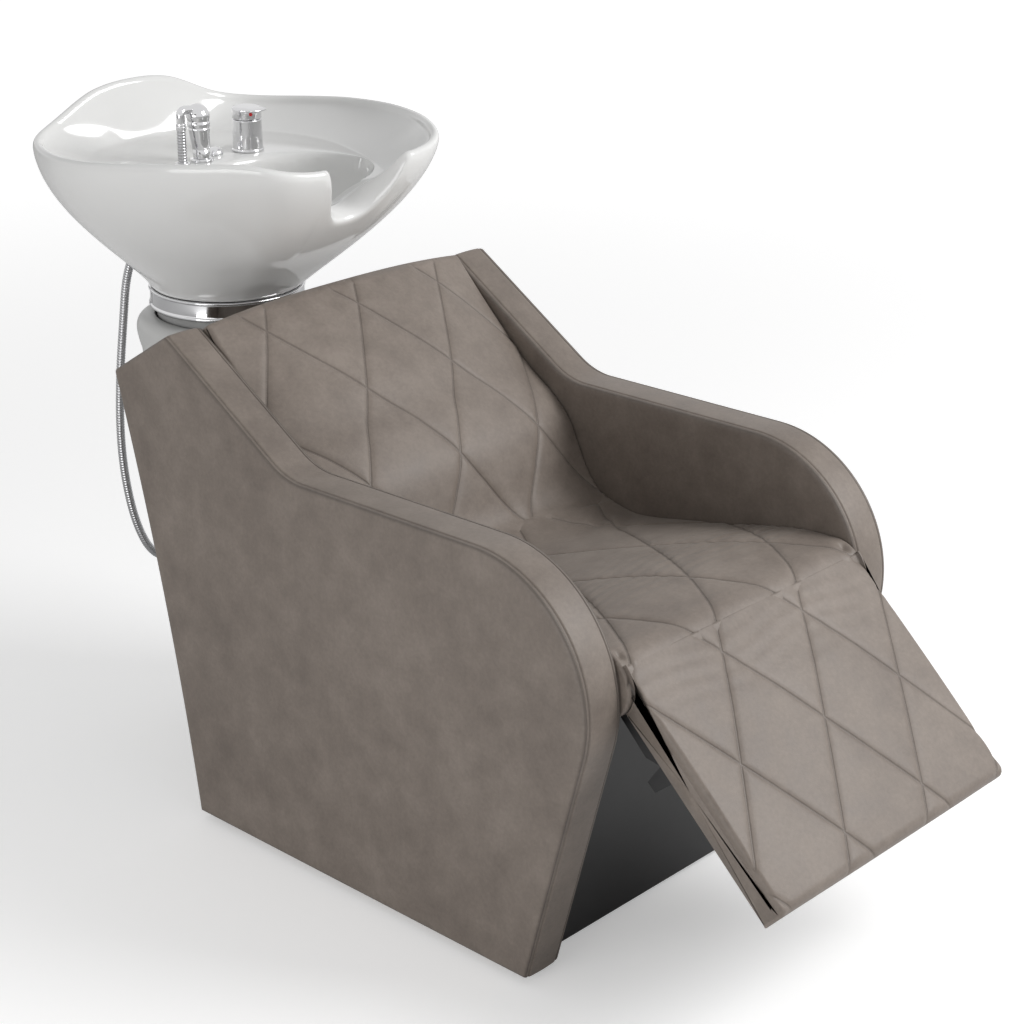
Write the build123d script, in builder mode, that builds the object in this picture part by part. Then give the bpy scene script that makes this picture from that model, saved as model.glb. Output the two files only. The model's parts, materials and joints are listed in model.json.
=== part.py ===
from build123d import *
import math
import os

# Hair washing bed: an upholstered reclined chair with a lifting legrest, a tapered
# column behind it and a tilting ceramic basin with a mixer and a hand shower.
# Millimetres. X runs across the chair, -Y points to the feet, Z is up, the floor is z = 0.
# Left and right are those of the person lying in the chair, so left is +X.
os.makedirs("parts", exist_ok=True)

# Clearances shared by many pieces
overrun = 4.0            # how far a cut runs past what it cuts
soft_gap = 0.3           # between soft neighbours and curved faces
run_gap = 0.05           # pin in its bore
side_gap = 2.5           # cushion beside the side panel

# Side panels
half_width = 350.0       # outer face of a side panel
arm_thick = 75.0
arm_skin = 15.0          # padded skin on each face
arm_band = 12.0          # padded band round the edge
arm_skin_round = 6.0
floor_gap = 12.0         # panels stand this far above the floor, on glides
arm_front = -604.0       # front of the outline before its nose is rounded
arm_length = 1052.0
arm_height = 808.0
arm_valley_r = 120.0
arm_nose_r = 208.0
arm_corner_r = 9.0
arm_outline_share = [(0.1663, 0), (0.8536, 0), (1, 0.8985), (0.8755, 1),
                     (0.6264, 0.797), (0, 0.8082)]
arm_rear_bow_share = (0.9097, 0.4183)

# Legrest hinge and legrest
hinge_y = -501.0
hinge_z = 482.0
hinge_depth = 50.0       # hinge axis below the seat's and the legrest's top
rest_angle = 43.0        # legrest below horizontal in the rest pose
legrest_length = 392.0
legrest_gap = 5.0        # between the legrest's side and the side panel
legrest_crown = 9.0
legrest_round = 14.0
leg_board_t = 15.0
leg_board_inset = 12.0
leg_cover_t = 2.0
pin_r = 8.0
eye_r = 18.0
arm_plate_t = 8.0
arm_plate_gap = 24.0     # between the side panel and the legrest's side arm
arm_plate_reach = 165.0
arm_plate_drop = 22.0
arm_step_s = 113.0       # where the side arm's lower edge steps up
lug_s = 150.0            # lug and crossbar
lug_drop = 45.0
crossbar_r = 9.0
crossbar_drop = 31.0
bracket_t = 8.0          # hinge bracket bolted to the side panel

# Seat and back
crease_y = -30.0
crease_z = 476.0
seat_board_t = 18.0
seat_under_rear = 398.0  # underside of the seat cushion at the crease
seat_crown = 18.0
cushion_half = half_width - arm_thick - side_gap
legrest_half = half_width - arm_thick - legrest_gap
arm_plate_x = half_width - arm_thick - arm_plate_gap   # inner face of the legrest's side arm
back_board_t = 15.0
back_crown = 38.0
back_top_y = 305.0
back_top_z = 822.0
back_thick = 79.0
groove_w = 5.0
groove_depth = 4.0
rhomb_wide = 188.0
rhomb_long = 300.0

# Sheet panels
front_panel_y = -399.0
sheet_t = 3.0
panel_flange = 12.0
rear_inset = 60.0        # rear panel in front of the side panels' rear edges
rear_panel_t = 14.0

# Legrest actuator: a straight path at a slant, past the hinge at a fixed distance
act_slope = 30.0
act_reach = 95.0         # distance of the path from the hinge axis
rod_r = 10.0
tube_r = 19.0
rod_eye_r = 14.0
cross_pin_r = 8.0
stroke_per_degree = 1.88
lift_up = 43.0           # legrest travel from rest to level, degrees
lift_down = 37.0         # and from rest to lowered
slot_gap = 4.2           # beside the pin, taken up by the crank's arc
tube_front = 190.0       # front end of the outer tube, along the path
tube_length = 290.0
tube_wall = 3.0
rod_length = 280.0
motor_r = 32.0
motor_length = 120.0
cheek_t = 6.0
cheek_gap = 16.0

# Underframe and glides
rail_w = 30.0
rail_h = 30.0
rail_t = 2.5
rail_x = 47.0
rail_lift = 10.0
cross_front_y = -355.0
cross_mid_y = -122.0
cross_rear_y = 184.0
end_plate_t = 5.0
end_plate_h = 70.0
end_plate_w = 60.0
glide_r = 20.0
glide_y_front = -385.0
glide_y_rear = 245.0

# Column
column_y = 582.0
base_plate_r = 80.0
base_plate_t = 10.0
post_r = 24.0
post_t = 3.0
post_back = 25.0         # post behind the column's axis
post_top = 636.0
cover_foot_r = 76.0
cover_waist_z = 672.0
cover_waist_r = 149.0
cover_max_r = 155.0
cover_max_z = 715.0
cover_top_r = 128.0
cover_top_z = 745.0
cover_wall = 4.0
cover_mouth_front = 711.0
cover_mouth_rear = 744.0

# Basin tilt, neck and ring
tilt_z = 720.0
tilt_pin_r = 8.0
ear_x = 48.0
ear_t = 9.0
ear_half = 24.0
saddle_t = 8.0
lug_t = 9.0
neck_r = 120.0
neck_wall = 4.0
neck_low = 704.0
ring_low = 745.0
ring_r = 130.0
ring_lip = 2.5
ring_wall = 4.0
ring_chamfer = 3.0
cradle_t = 10.0

# Basin
basin_foot_z = 779.0
hull_start_z = 768.0
hull_start_r = 132.0
neck_y = 222.0           # front end of the basin
basin_length = 597.0
basin_half = 321.0
rim_z = 1046.0
arch_rise = 61.0         # rear lobe above the rim
arch_half = 157.0
rim_t = 17.0
hull_wall = 14.0
deck_z = 991.0
bowl_floor_z = 850.0
bowl_y = 428.0
bowl_half_x = 163.0
bowl_half_y = 128.0
neck_half = 76.0
neck_floor_z = 950.0
drain_r = 22.5
drain_y = 486.0
tail_r = 16.0
service_x = 124.0
service_y = 742.0
service_half = 36.0
rim_share = [(0.26, 0.0), (0.36, 0.004), (0.47, 0.012), (0.56, 0.04), (0.676, 0.132),
             (0.798, 0.232), (0.888, 0.332), (0.956, 0.432), (1.0, 0.57), (0.975, 0.683),
             (0.903, 0.783), (0.804, 0.883), (0.70, 0.95), (0.47, 0.99), (0.24, 1.0)]
foot_share = [(0.235, 0.06), (0.26, 0.075), (0.30, 0.10), (0.35, 0.14), (0.42, 0.20),
              (0.50, 0.28), (0.56, 0.36), (0.61, 0.44), (0.66, 0.57), (0.65, 0.66),
              (0.60, 0.75), (0.51, 0.84), (0.40, 0.905), (0.26, 0.93), (0.13, 0.94)]
side_trim_share = [(-0.02, -0.016), (0.0, -0.014), (0.03, 0.003), (0.1, 0.016), (0.23, 0.010),
                   (0.38, 0.001), (0.53, -0.010), (0.73, -0.020), (0.93, -0.032), (1.02, -0.032)]
hull_level_share = [0.04, 0.12, 0.25, 0.42, 0.62, 0.82, 1.0]
hollow_level_share = [0.12, 0.25, 0.42, 0.6]
arch_power = 3.05        # how square the rear lobe's shoulders are
arch_line_share = [-1.05, -0.8, -0.6, -0.45, -0.3, -0.15, 0, 0.15, 0.3, 0.45, 0.6, 0.8, 1.05]
bowl_level_share = [(0, 0.30, 0.36, 1.0), (0.16, 0.62, 0.63, 0.78), (0.45, 0.86, 0.86, 0.42),
                    (0.75, 0.96, 0.96, 0.15), (1.0, 1.0, 1.0, 0)]

# Fittings on the shelf
mixer_x = 69.0
mixer_y = 594.0
mixer_r = 25.0
mixer_h = 54.0
lever_h = 26.0
lever_gap = 1.0
lever_nose = 11.0
lever_lip = 6.0          # height of the nose
lever_play = 4.0
lever_hollow_share = 0.7   # of the lever's height
mixer_hole_r = 17.5
shank_r = 16.0
nut_t = 10.0
flange_t = 4.0
cap_x = 8.0
cap_y = 608.0
cap_r = 14.0
cap_h = 13.0
shower_x = -36.0
shower_y = 588.0
shower_h = 107.0
shower_ball_r = 18.5
shower_low_r = 14.5
shower_high_r = 18.0
shower_lean = 6.4
socket_r = 19.0
socket_h = 6.0
socket_bore_r = 13.0
socket_wall = 1.5
shower_shank_r = 12.0
shower_shank = 38.0
hose_r = 7.5
hose_wall = 2.5
hose_play = 0.8
hose_x = -76.0
hose_y = 589.0
hose_bore_r = 10.0
grommet_r = 13.0
elbow_r = 7.5
elbow_bend = 9.0
hose_nut_r = 10.5
hose_nut_h = 14.0
hose_under = 915.0       # where the upper stretch ends under the shelf


def lerp(a, b, t):
    return a + (b - a) * t


def leg_point(s, m, angle=rest_angle):
    """World (y, z) of a place on the legrest: s along it from the hinge, m above its underside."""
    c, d = math.cos(math.radians(angle)), math.sin(math.radians(angle))
    return (hinge_y - s * c - m * d, hinge_z - s * d + m * c)


def act_point(t, n=0):
    """World (y, z) at t along the actuator's path from the foot of the perpendicular, n above it."""
    c, d = math.cos(math.radians(act_slope)), math.sin(math.radians(act_slope))
    return (hinge_y - act_reach * d + t * c + n * d, hinge_z - act_reach * c - t * d + n * c)


arm_inner = half_width - arm_thick

# Side panels: outline in Y and Z
arm_corners = [(arm_front + u * arm_length, floor_gap + v * arm_height)
               for u, v in arm_outline_share]
arm_sole = arm_corners[1][0] - arm_corners[0][0] - 4 * arm_band
arm_bow = (arm_front + arm_rear_bow_share[0] * arm_length,
           floor_gap + arm_rear_bow_share[1] * arm_height)
with BuildSketch(Plane.YZ) as arm_outline:
    with BuildLine():
        Polyline(arm_corners[2], arm_corners[3], arm_corners[4], arm_corners[5],
                 arm_corners[0], arm_corners[1])
        ThreePointArc(arm_corners[1], arm_bow, arm_corners[2])
    make_face()
    nose = arm_outline.vertices().sort_by_distance(Vector(*arm_corners[5]))[0]
    fillet(nose, radius=arm_nose_r)
    valley = arm_outline.vertices().sort_by_distance(Vector(*arm_corners[4]))[0]
    fillet(valley, radius=arm_valley_r)
    peak = arm_outline.vertices().sort_by_distance(Vector(*arm_corners[3]))[0]
    fillet(peak, radius=arm_corner_r)
    rear = arm_outline.vertices().sort_by_distance(Vector(*arm_corners[2]))[0]
    fillet(rear, radius=arm_corner_r)

for side, hand in ((1, "left"), (-1, "right")):
    # board core between the two padded skins
    with BuildPart() as arm_core:
        with BuildSketch(Plane.YZ.offset(side * (arm_inner + arm_skin))):
            add(arm_outline.sketch_local)
            offset(amount=-(arm_band + soft_gap), mode=Mode.REPLACE)
            with Locations(((arm_corners[0][0] + arm_corners[1][0]) / 2, floor_gap)):
                Rectangle(arm_sole, 2 * arm_band + overrun, align=(Align.CENTER, Align.MIN))
        extrude(amount=side * (arm_thick - 2 * arm_skin))
    arm_core.part.label = f"arm_core_{hand}"
    export_step(arm_core.part, f"parts/arm_core_{hand}.step")

    # padded band round the edge, open underneath
    with BuildPart() as arm_edge:
        with BuildSketch(Plane.YZ.offset(side * (arm_inner + arm_skin))):
            add(arm_outline.sketch_local)
            offset(amount=-arm_band, mode=Mode.SUBTRACT)
            with Locations(((arm_corners[0][0] + arm_corners[1][0]) / 2, floor_gap)):
                Rectangle(arm_sole + 2 * soft_gap, 4 * arm_band, mode=Mode.SUBTRACT)
        extrude(amount=side * (arm_thick - 2 * arm_skin))
    arm_edge.part.label = f"arm_band_{hand}"
    export_step(arm_edge.part, f"parts/arm_band_{hand}.step")

    # outer skin, its edge drawn in to the seam
    with BuildPart() as arm_outer:
        with BuildSketch(Plane.YZ.offset(side * (half_width - arm_skin))):
            add(arm_outline.sketch_local)
        extrude(amount=side * arm_skin)
        face = arm_outer.faces().filter_by(Axis.X).sort_by(Axis.X)[-1 if side > 0 else 0]
        fillet(face.edges(), radius=arm_skin_round)
    arm_outer.part.label = f"arm_outer_{hand}"
    export_step(arm_outer.part, f"parts/arm_outer_{hand}.step")

    # inner skin
    with BuildPart() as arm_lining:
        with BuildSketch(Plane.YZ.offset(side * arm_inner)):
            add(arm_outline.sketch_local)
        extrude(amount=side * arm_skin)
        face = arm_lining.faces().filter_by(Axis.X).sort_by(Axis.X)[0 if side > 0 else -1]
        fillet(face.edges(), radius=arm_skin_round)
    arm_lining.part.label = f"arm_inner_{hand}"
    export_step(arm_lining.part, f"parts/arm_inner_{hand}.step")

# Seat: the legrest's quilting runs on over the bend, so both follow one lattice
bend_y = hinge_y - hinge_depth * math.tan(math.radians(rest_angle / 2))
bend_share = 0.6         # the bend lies this share of a row past the seat's front row
seat_row_y = bend_y + bend_share * rhomb_long / 2
leg_row_s = (1 - bend_share) * rhomb_long / 2 - (hinge_y - bend_y)
seat_top_z = hinge_z + hinge_depth
seat_section_share = [-1, -0.6, 0, 0.6, 1]
seat_line_share = [(0, 1.0, 0.45), (0.17, 1.25, 0.9), (0.45, 0.8, 1.0), (0.7, 0.34, 0.85),
                   (0.86, 0.08, 0.45)]


def crown(share, power=2.6):
    """How much of the crown stands at a share of the half width."""
    return 1 - abs(share) ** power


def seat_solid(drop, below):
    """Seat cushion, its top lowered by drop and its underside and back moved out by below."""
    with BuildPart() as solid:
        for share in seat_section_share:
            with BuildSketch(Plane.YZ.offset(share * cushion_half)):
                front = (hinge_y, seat_top_z - drop)
                low = (hinge_y, hinge_z - hinge_depth + drop - below)
                nose = (hinge_y - hinge_depth + drop, hinge_z)
                turn = (hinge_depth - drop) * math.sqrt(0.5)
                top = [(lerp(crease_y, hinge_y, u),
                        seat_top_z - (seat_top_z - crease_z) * v
                        + seat_crown * crown(share) * k - drop)
                       for u, v, k in seat_line_share]
                with BuildLine():
                    Spline([top[0]] + top[1:] + [front], tangents=[(-1, -0.2), (-1, 0)])
                    ThreePointArc(front, (hinge_y - turn, hinge_z + turn), nose)
                    ThreePointArc(nose, (hinge_y - turn, hinge_z - turn),
                                  (hinge_y, hinge_z - hinge_depth + drop))
                    Polyline(*([(hinge_y, hinge_z - hinge_depth + drop), low] if below else [low]),
                             (crease_y, seat_under_rear - below), top[0])
                make_face()
        loft()
    return solid.part


def lattice(plane, row_y, long, height):
    """Thin crossing walls that stand on a plane along both diagonals of the rhombi."""
    turn = math.degrees(math.atan2(rhomb_wide, rhomb_long))
    reach = math.ceil((cushion_half + long * rhomb_wide / rhomb_long) / rhomb_wide)
    with BuildPart() as walls:
        with BuildSketch(plane):
            for k in range(-reach, reach + 1):
                for tilt in (turn, -turn):
                    with Locations(Location((k * rhomb_wide, row_y, 0), (0, 0, 1), tilt)):
                        Rectangle(groove_w, 2 * long)
        extrude(amount=height)
    return walls.part


pin_inner_x = arm_plate_x - bracket_t / 2
arm_slot_x = pin_inner_x - side_gap
seat_long = crease_y - hinge_y
with BuildPart() as seat_grooves:
    add(lattice(Plane.XY.offset(hinge_z - hinge_depth), seat_row_y, seat_long, seat_long))
    add(seat_solid(groove_depth, overrun), mode=Mode.SUBTRACT)
with BuildPart() as seat_cushion:
    add(seat_solid(0, 0))
    add(seat_grooves.part, mode=Mode.SUBTRACT)
    # room for the legrest's side arms and the hinge brackets
    for side in (1, -1):
        with BuildSketch(Plane.YZ.offset(side * arm_slot_x)):
            with Locations((hinge_y, hinge_z)):
                Circle(eye_r + side_gap)
            with BuildLine():
                Polyline((hinge_y, hinge_z + eye_r + side_gap),
                         (hinge_y - hinge_depth - overrun, hinge_z + overrun / 2),
                         (hinge_y - hinge_depth - overrun, hinge_z - hinge_depth - overrun),
                         (hinge_y + arm_plate_drop + 2 * side_gap, hinge_z - hinge_depth - overrun),
                         (hinge_y + arm_plate_drop + 2 * side_gap, hinge_z), close=True)
            make_face()
        extrude(amount=side * (cushion_half - arm_slot_x + overrun), mode=Mode.SUBTRACT)
seat_cushion.part.label = "seat_cushion"
export_step(seat_cushion.part, "parts/seat_cushion.step")

# Seat board under the cushion, on an angle bearer along each side panel
board_front_y = hinge_y + eye_r + 2 * side_gap + overrun * 3
seat_fall = (hinge_z - hinge_depth - seat_under_rear) / seat_long


def under_seat(y, drop=0):
    return seat_under_rear + (crease_y - y) * seat_fall - drop


with BuildPart() as seat_board:
    with BuildSketch(Plane.YZ.offset(-arm_inner + soft_gap)):
        with BuildLine():
            Polyline((board_front_y, under_seat(board_front_y)), (crease_y, seat_under_rear),
                     (crease_y, seat_under_rear - seat_board_t),
                     (board_front_y, under_seat(board_front_y, seat_board_t)), close=True)
        make_face()
    extrude(amount=2 * (arm_inner - soft_gap))
seat_board.part.label = "seat_board"
export_step(seat_board.part, "parts/seat_board.step")

bearer_leg = 30.0
bearer_front_y = front_panel_y + panel_flange + overrun
for side, hand in ((1, "left"), (-1, "right")):
    with BuildPart() as bearer:
        for wide, deep in ((bearer_leg, sheet_t), (sheet_t, bearer_leg)):
            with BuildSketch(Plane.YZ.offset(side * arm_inner)):
                with BuildLine():
                    Polyline((bearer_front_y, under_seat(bearer_front_y, seat_board_t)),
                             (crease_y, under_seat(crease_y, seat_board_t)),
                             (crease_y, under_seat(crease_y, seat_board_t + deep)),
                             (bearer_front_y, under_seat(bearer_front_y, seat_board_t + deep)),
                             close=True)
                make_face()
            extrude(amount=-side * wide)
    bearer.part.label = f"seat_bearer_{hand}"
    export_step(bearer.part, f"parts/seat_bearer_{hand}.step")

# Back: places along the chord from the crease to the top edge, and out from it
back_foot = (crease_y + soft_gap, crease_z + overrun / 2)
chord = math.hypot(back_top_y - back_foot[0], back_top_z - back_foot[1])
chord_c, chord_s = (back_top_y - back_foot[0]) / chord, (back_top_z - back_foot[1]) / chord
back_line_share = [(0, 0, 0), (0.08, -0.0076, 0.25), (0.186, 0.0212, 0.5), (0.29, 0.05, 0.65),
                   (0.4, 0.044, 0.8), (0.51, 0.0215, 0.95), (0.64, 0.0117, 1.0),
                   (0.77, 0.003, 0.9), (0.9, 0, 0.66), (1, 0, 0.32)]
back_section_share = [-1, -0.6, 0, 0.6, 1]
cut_c = arm_corners[2][0] - arm_corners[3][0]
cut_s = arm_corners[2][1] - arm_corners[3][1]
cut_run = math.hypot(cut_c, cut_s)


def back_point(u, v):
    """World (y, z) at u along the back's chord and v in front of it."""
    return (back_foot[0] + u * chord_c - v * chord_s, back_foot[1] + u * chord_s + v * chord_c)


def back_solid(drop, below):
    with BuildPart() as solid:
        for share in back_section_share:
            line = [back_point(u * chord, v * chord + back_crown * crown(share) * k - drop)
                    for u, v, k in back_line_share]
            top = (line[-1][0] + back_thick * cut_c / cut_run,
                   line[-1][1] + back_thick * cut_s / cut_run)
            with BuildSketch(Plane.YZ.offset(share * cushion_half)):
                with BuildLine():
                    Spline(line)
                    Polyline(line[-1], top, back_point(0, -back_thick - below), line[0])
                make_face()
        loft()
    return solid.part


back_plane = Plane(origin=(0, *back_foot), x_dir=(1, 0, 0), z_dir=(0, -chord_s, chord_c))
back_row_share = 0.088     # share of the chord from the top edge to the first row
with BuildPart() as back_grooves:
    add(lattice(back_plane.offset(-back_thick / 2), chord * (1 - back_row_share), chord, chord / 2))
    add(back_solid(groove_depth, overrun), mode=Mode.SUBTRACT)
with BuildPart() as back_cushion:
    add(back_solid(0, 0))
    add(back_grooves.part, mode=Mode.SUBTRACT)
back_cushion.part.label = "back_cushion"
export_step(back_cushion.part, "parts/back_cushion.step")

with BuildPart() as back_board:
    with BuildSketch(Plane.YZ.offset(-arm_inner + soft_gap)):
        with BuildLine():
            Polyline(back_point(back_board_t, -back_thick - soft_gap),
                     back_point(chord - 2 * back_board_t, -back_thick - soft_gap),
                     back_point(chord - 2 * back_board_t, -back_thick - back_board_t),
                     back_point(back_board_t, -back_thick - back_board_t), close=True)
        make_face()
    extrude(amount=2 * (arm_inner - soft_gap))
back_board.part.label = "back_board"
export_step(back_board.part, "parts/back_board.step")

# Front panel: a folded sheet between the side panels, with a hole for the actuator rod
rod_cross_t = (front_panel_y - act_point(0)[0]) / math.cos(math.radians(act_slope))
panel_top = under_seat(front_panel_y + panel_flange, seat_board_t)
with BuildPart() as front_panel:
    with BuildSketch(Plane.XZ.offset(-front_panel_y)):
        with Locations((0, floor_gap)):
            Rectangle(2 * (arm_inner - soft_gap), panel_top - floor_gap,
                      align=(Align.CENTER, Align.MIN))
    extrude(amount=-panel_flange)
    with BuildSketch(Plane.XZ.offset(-front_panel_y - sheet_t)):
        with Locations((0, floor_gap + sheet_t)):
            Rectangle(2 * (arm_inner - soft_gap - sheet_t), panel_top,
                      align=(Align.CENTER, Align.MIN))
    extrude(amount=-panel_flange, mode=Mode.SUBTRACT)
    with BuildSketch(Plane.XZ.offset(-front_panel_y + overrun)):
        with Locations((0, act_point(rod_cross_t)[1])):
            SlotOverall(2 * tube_r + 2 * overrun, 2 * rod_r + 2 * overrun, rotation=90)
    extrude(amount=-2 * overrun - sheet_t, mode=Mode.SUBTRACT)
front_panel.part.label = "front_panel"
export_step(front_panel.part, "parts/front_panel.step")

# Rear panel between the side panels, bowed like their rear edges
with BuildPart() as rear_panel:
    with BuildSketch(Plane.YZ.offset(-arm_inner + soft_gap)):
        low = (arm_corners[1][0] - rear_inset, arm_corners[1][1])
        high = (arm_corners[2][0] - rear_inset, arm_corners[2][1])
        bow = (arm_bow[0] - rear_inset, arm_bow[1])
        rise = (high[0] - bow[0]) / (high[1] - bow[1])
        crest = (high[0] + rear_panel_t * rise, high[1] + 2 * rear_panel_t)
        with BuildLine():
            ThreePointArc(low, bow, high)
            Polyline(high, crest, (crest[0] - rear_panel_t, crest[1]),
                     (high[0] - rear_panel_t, high[1]))
            ThreePointArc((high[0] - rear_panel_t, high[1]), (bow[0] - rear_panel_t, bow[1]),
                          (low[0] - rear_panel_t, low[1]))
            Line((low[0] - rear_panel_t, low[1]), low)
        make_face()
    extrude(amount=2 * (arm_inner - soft_gap))
    with BuildSketch(Plane.XY.offset(floor_gap - overrun)):
        with Locations((0, low[0])):
            Rectangle(2 * rail_x + rail_w + overrun, 4 * rear_panel_t)
    extrude(amount=rail_lift + rail_h - floor_gap + 2 * overrun, mode=Mode.SUBTRACT)
rear_panel.part.label = "rear_panel"
export_step(rear_panel.part, "parts/rear_panel.step")

# Legrest in its rest pose; the local plane has X across, Y back to the hinge, Z out of its top
leg_c, leg_s = math.cos(math.radians(rest_angle)), math.sin(math.radians(rest_angle))
leg_plane = Plane(origin=(0, hinge_y, hinge_z), x_dir=(1, 0, 0), z_dir=(0, -leg_s, leg_c))
leg_section_share = [-1, -0.6, 0, 0.6, 1]
leg_line_share = [(0.1, 0.35), (0.3, 0.95), (0.6, 1.0), (0.88, 0.8)]


def leg_solid(drop, below):
    with BuildPart() as solid:
        for share in leg_section_share:
            top = [(legrest_length * u, hinge_depth + legrest_crown * crown(share) * k - drop)
                   for u, k in leg_line_share]
            end = legrest_length - drop
            crest = (end - legrest_round, hinge_depth - drop + legrest_crown * crown(share) * 0.5)
            corner = (end, crest[1] - legrest_round)
            turn = legrest_round * (1 - math.sqrt(0.5))
            with BuildSketch(Plane.YZ.offset(share * legrest_half)):
                with BuildLine():
                    Spline([leg_point(*p) for p in [(0, hinge_depth - drop)] + top + [crest]])
                    ThreePointArc(leg_point(*crest), leg_point(end - turn, crest[1] - turn),
                                  leg_point(*corner))
                    Polyline(leg_point(*corner), leg_point(end, -below), leg_point(0, -below),
                             leg_point(0, hinge_depth - drop))
                make_face()
        loft()
    return solid.part


board_start = hinge_depth + 3 * side_gap
board_long = legrest_length - leg_board_inset - board_start
board_low = leg_cover_t
with BuildPart() as leg_grooves:
    add(lattice(leg_plane.offset(hinge_depth / 2), -leg_row_s - rhomb_long / 2, legrest_length,
                hinge_depth))
    add(leg_solid(groove_depth, overrun), mode=Mode.SUBTRACT)
    # the lines run out before the thin lip over the seat's rounded front
    with Locations(Location((0, hinge_y, hinge_z), (0, 1, 0), 90)):
        Cylinder(hinge_depth + groove_depth / 2, 2 * (legrest_half + overrun), mode=Mode.SUBTRACT)
with BuildPart() as legrest_cushion:
    add(leg_solid(0, 0))
    add(leg_grooves.part, mode=Mode.SUBTRACT)
    # hollow end that turns on the seat's rounded front
    with Locations(Location((0, hinge_y, hinge_z), (0, 1, 0), 90)):
        Cylinder(hinge_depth + soft_gap, 2 * (legrest_half + overrun), mode=Mode.SUBTRACT)
    # recess for the board and its under-cover
    with BuildSketch(leg_plane):
        with Locations((0, -board_start - board_long / 2)):
            Rectangle(2 * (legrest_half - leg_board_inset), board_long)
    extrude(amount=board_low + leg_board_t, mode=Mode.SUBTRACT)
legrest_cushion.part.label = "legrest_cushion"
export_step(legrest_cushion.part, "parts/legrest_cushion.step")

with BuildPart() as legrest_board:
    with BuildSketch(leg_plane.offset(board_low)):
        with Locations((0, -board_start - board_long / 2)):
            RectangleRounded(2 * (legrest_half - leg_board_inset - soft_gap),
                             board_long - 2 * soft_gap, leg_board_t)
    extrude(amount=leg_board_t)
legrest_board.part.label = "legrest_board"
export_step(legrest_board.part, "parts/legrest_board.step")

with BuildPart() as legrest_cover:
    with BuildSketch(leg_plane):
        with Locations((0, -board_start - board_long / 2)):
            RectangleRounded(2 * (legrest_half - leg_board_inset - soft_gap),
                             board_long - 2 * soft_gap, leg_board_t)
    extrude(amount=leg_cover_t)
legrest_cover.part.label = "legrest_under_cover"
export_step(legrest_cover.part, "parts/legrest_under_cover.step")

# Side arms: hinge eye, plate under the board, lug for the crossbar
for side, hand in ((1, "left"), (-1, "right")):
    with BuildPart() as arm:
        with BuildSketch(Plane.YZ.offset(side * arm_plate_x)):
            with BuildLine():
                Polyline(leg_point(0, eye_r), leg_point(hinge_depth - 2 * side_gap, 0),
                         leg_point(board_start, 0), leg_point(arm_plate_reach, 0),
                         leg_point(lug_s + crossbar_r, -lug_drop),
                         leg_point(lug_s - crossbar_r, -lug_drop),
                         leg_point(arm_step_s + arm_plate_drop, -arm_plate_drop / 3),
                         leg_point(arm_step_s, -arm_plate_drop),
                         leg_point(0, -eye_r), close=True)
            make_face()
            with Locations((hinge_y, hinge_z)):
                Circle(eye_r)
                Circle(pin_r + run_gap, mode=Mode.SUBTRACT)
        extrude(amount=side * arm_plate_t)
        # flange screwed up into the board
        with BuildSketch(leg_plane):
            with Locations((side * (arm_plate_x - bearer_leg / 2),
                            -(board_start + arm_plate_reach) / 2)):
                Rectangle(bearer_leg, arm_plate_reach - board_start)
        extrude(amount=-sheet_t)
    arm.part.label = f"legrest_arm_{hand}"
    export_step(arm.part, f"parts/legrest_arm_{hand}.step")

with BuildPart() as crossbar:
    with BuildSketch(Plane.YZ.offset(-arm_plate_x)):
        with Locations(leg_point(lug_s, -crossbar_drop)):
            Circle(crossbar_r)
            Circle(crossbar_r - tube_wall, mode=Mode.SUBTRACT)
    extrude(amount=2 * arm_plate_x)
crossbar.part.label = "legrest_crossbar"
export_step(crossbar.part, "parts/legrest_crossbar.step")

# Lift bracket: two cheeks with slots in which the rod's cross pin runs
mid_angle = (rest_angle - lift_up + rest_angle + lift_down) / 2
rod_rest = (rest_angle - mid_angle) * stroke_per_degree
pin_rest = act_point(rod_rest)
half_stroke = (lift_up + lift_down) * stroke_per_degree / 2
slot_far = math.hypot(act_reach, half_stroke)
slot_turn = mid_angle - (90 - act_slope)    # bearing of the slot below the legrest's underside


def slot_point(r):
    """Place on the slot's middle line at a distance from the hinge, in s and m."""
    return (r * math.cos(math.radians(slot_turn)), r * math.sin(math.radians(slot_turn)))


cheek_low = cheek_t + cross_pin_r + slot_gap
with BuildPart() as lift_bracket:
    for side in (1, -1):
        with BuildSketch(Plane.YZ.offset(side * cheek_gap)):
            near, far = slot_point(act_reach - cross_pin_r), slot_point(slot_far + cross_pin_r)
            with BuildLine():
                Polyline(leg_point(near[0] - cheek_low, 0),
                         leg_point(near[0] - cheek_low, near[1] - cheek_low),
                         leg_point(far[0], far[1] - cheek_low),
                         leg_point(far[0] + cheek_low / 2, far[1]),
                         leg_point(far[0] + cheek_low / 2, 0), close=True)
            make_face()
            a, b = leg_point(*slot_point(act_reach)), leg_point(*slot_point(slot_far))
            with Locations(Location(((a[0] + b[0]) / 2, (a[1] + b[1]) / 2, 0), (0, 0, 1),
                                    math.degrees(math.atan2(b[1] - a[1], b[0] - a[0])))):
                SlotCenterToCenter(math.hypot(b[0] - a[0], b[1] - a[1]),
                                   2 * (cross_pin_r + slot_gap), mode=Mode.SUBTRACT)
        extrude(amount=side * cheek_t)
lift_bracket.part.label = "lift_bracket"
export_step(lift_bracket.part, "parts/lift_bracket.step")

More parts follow.
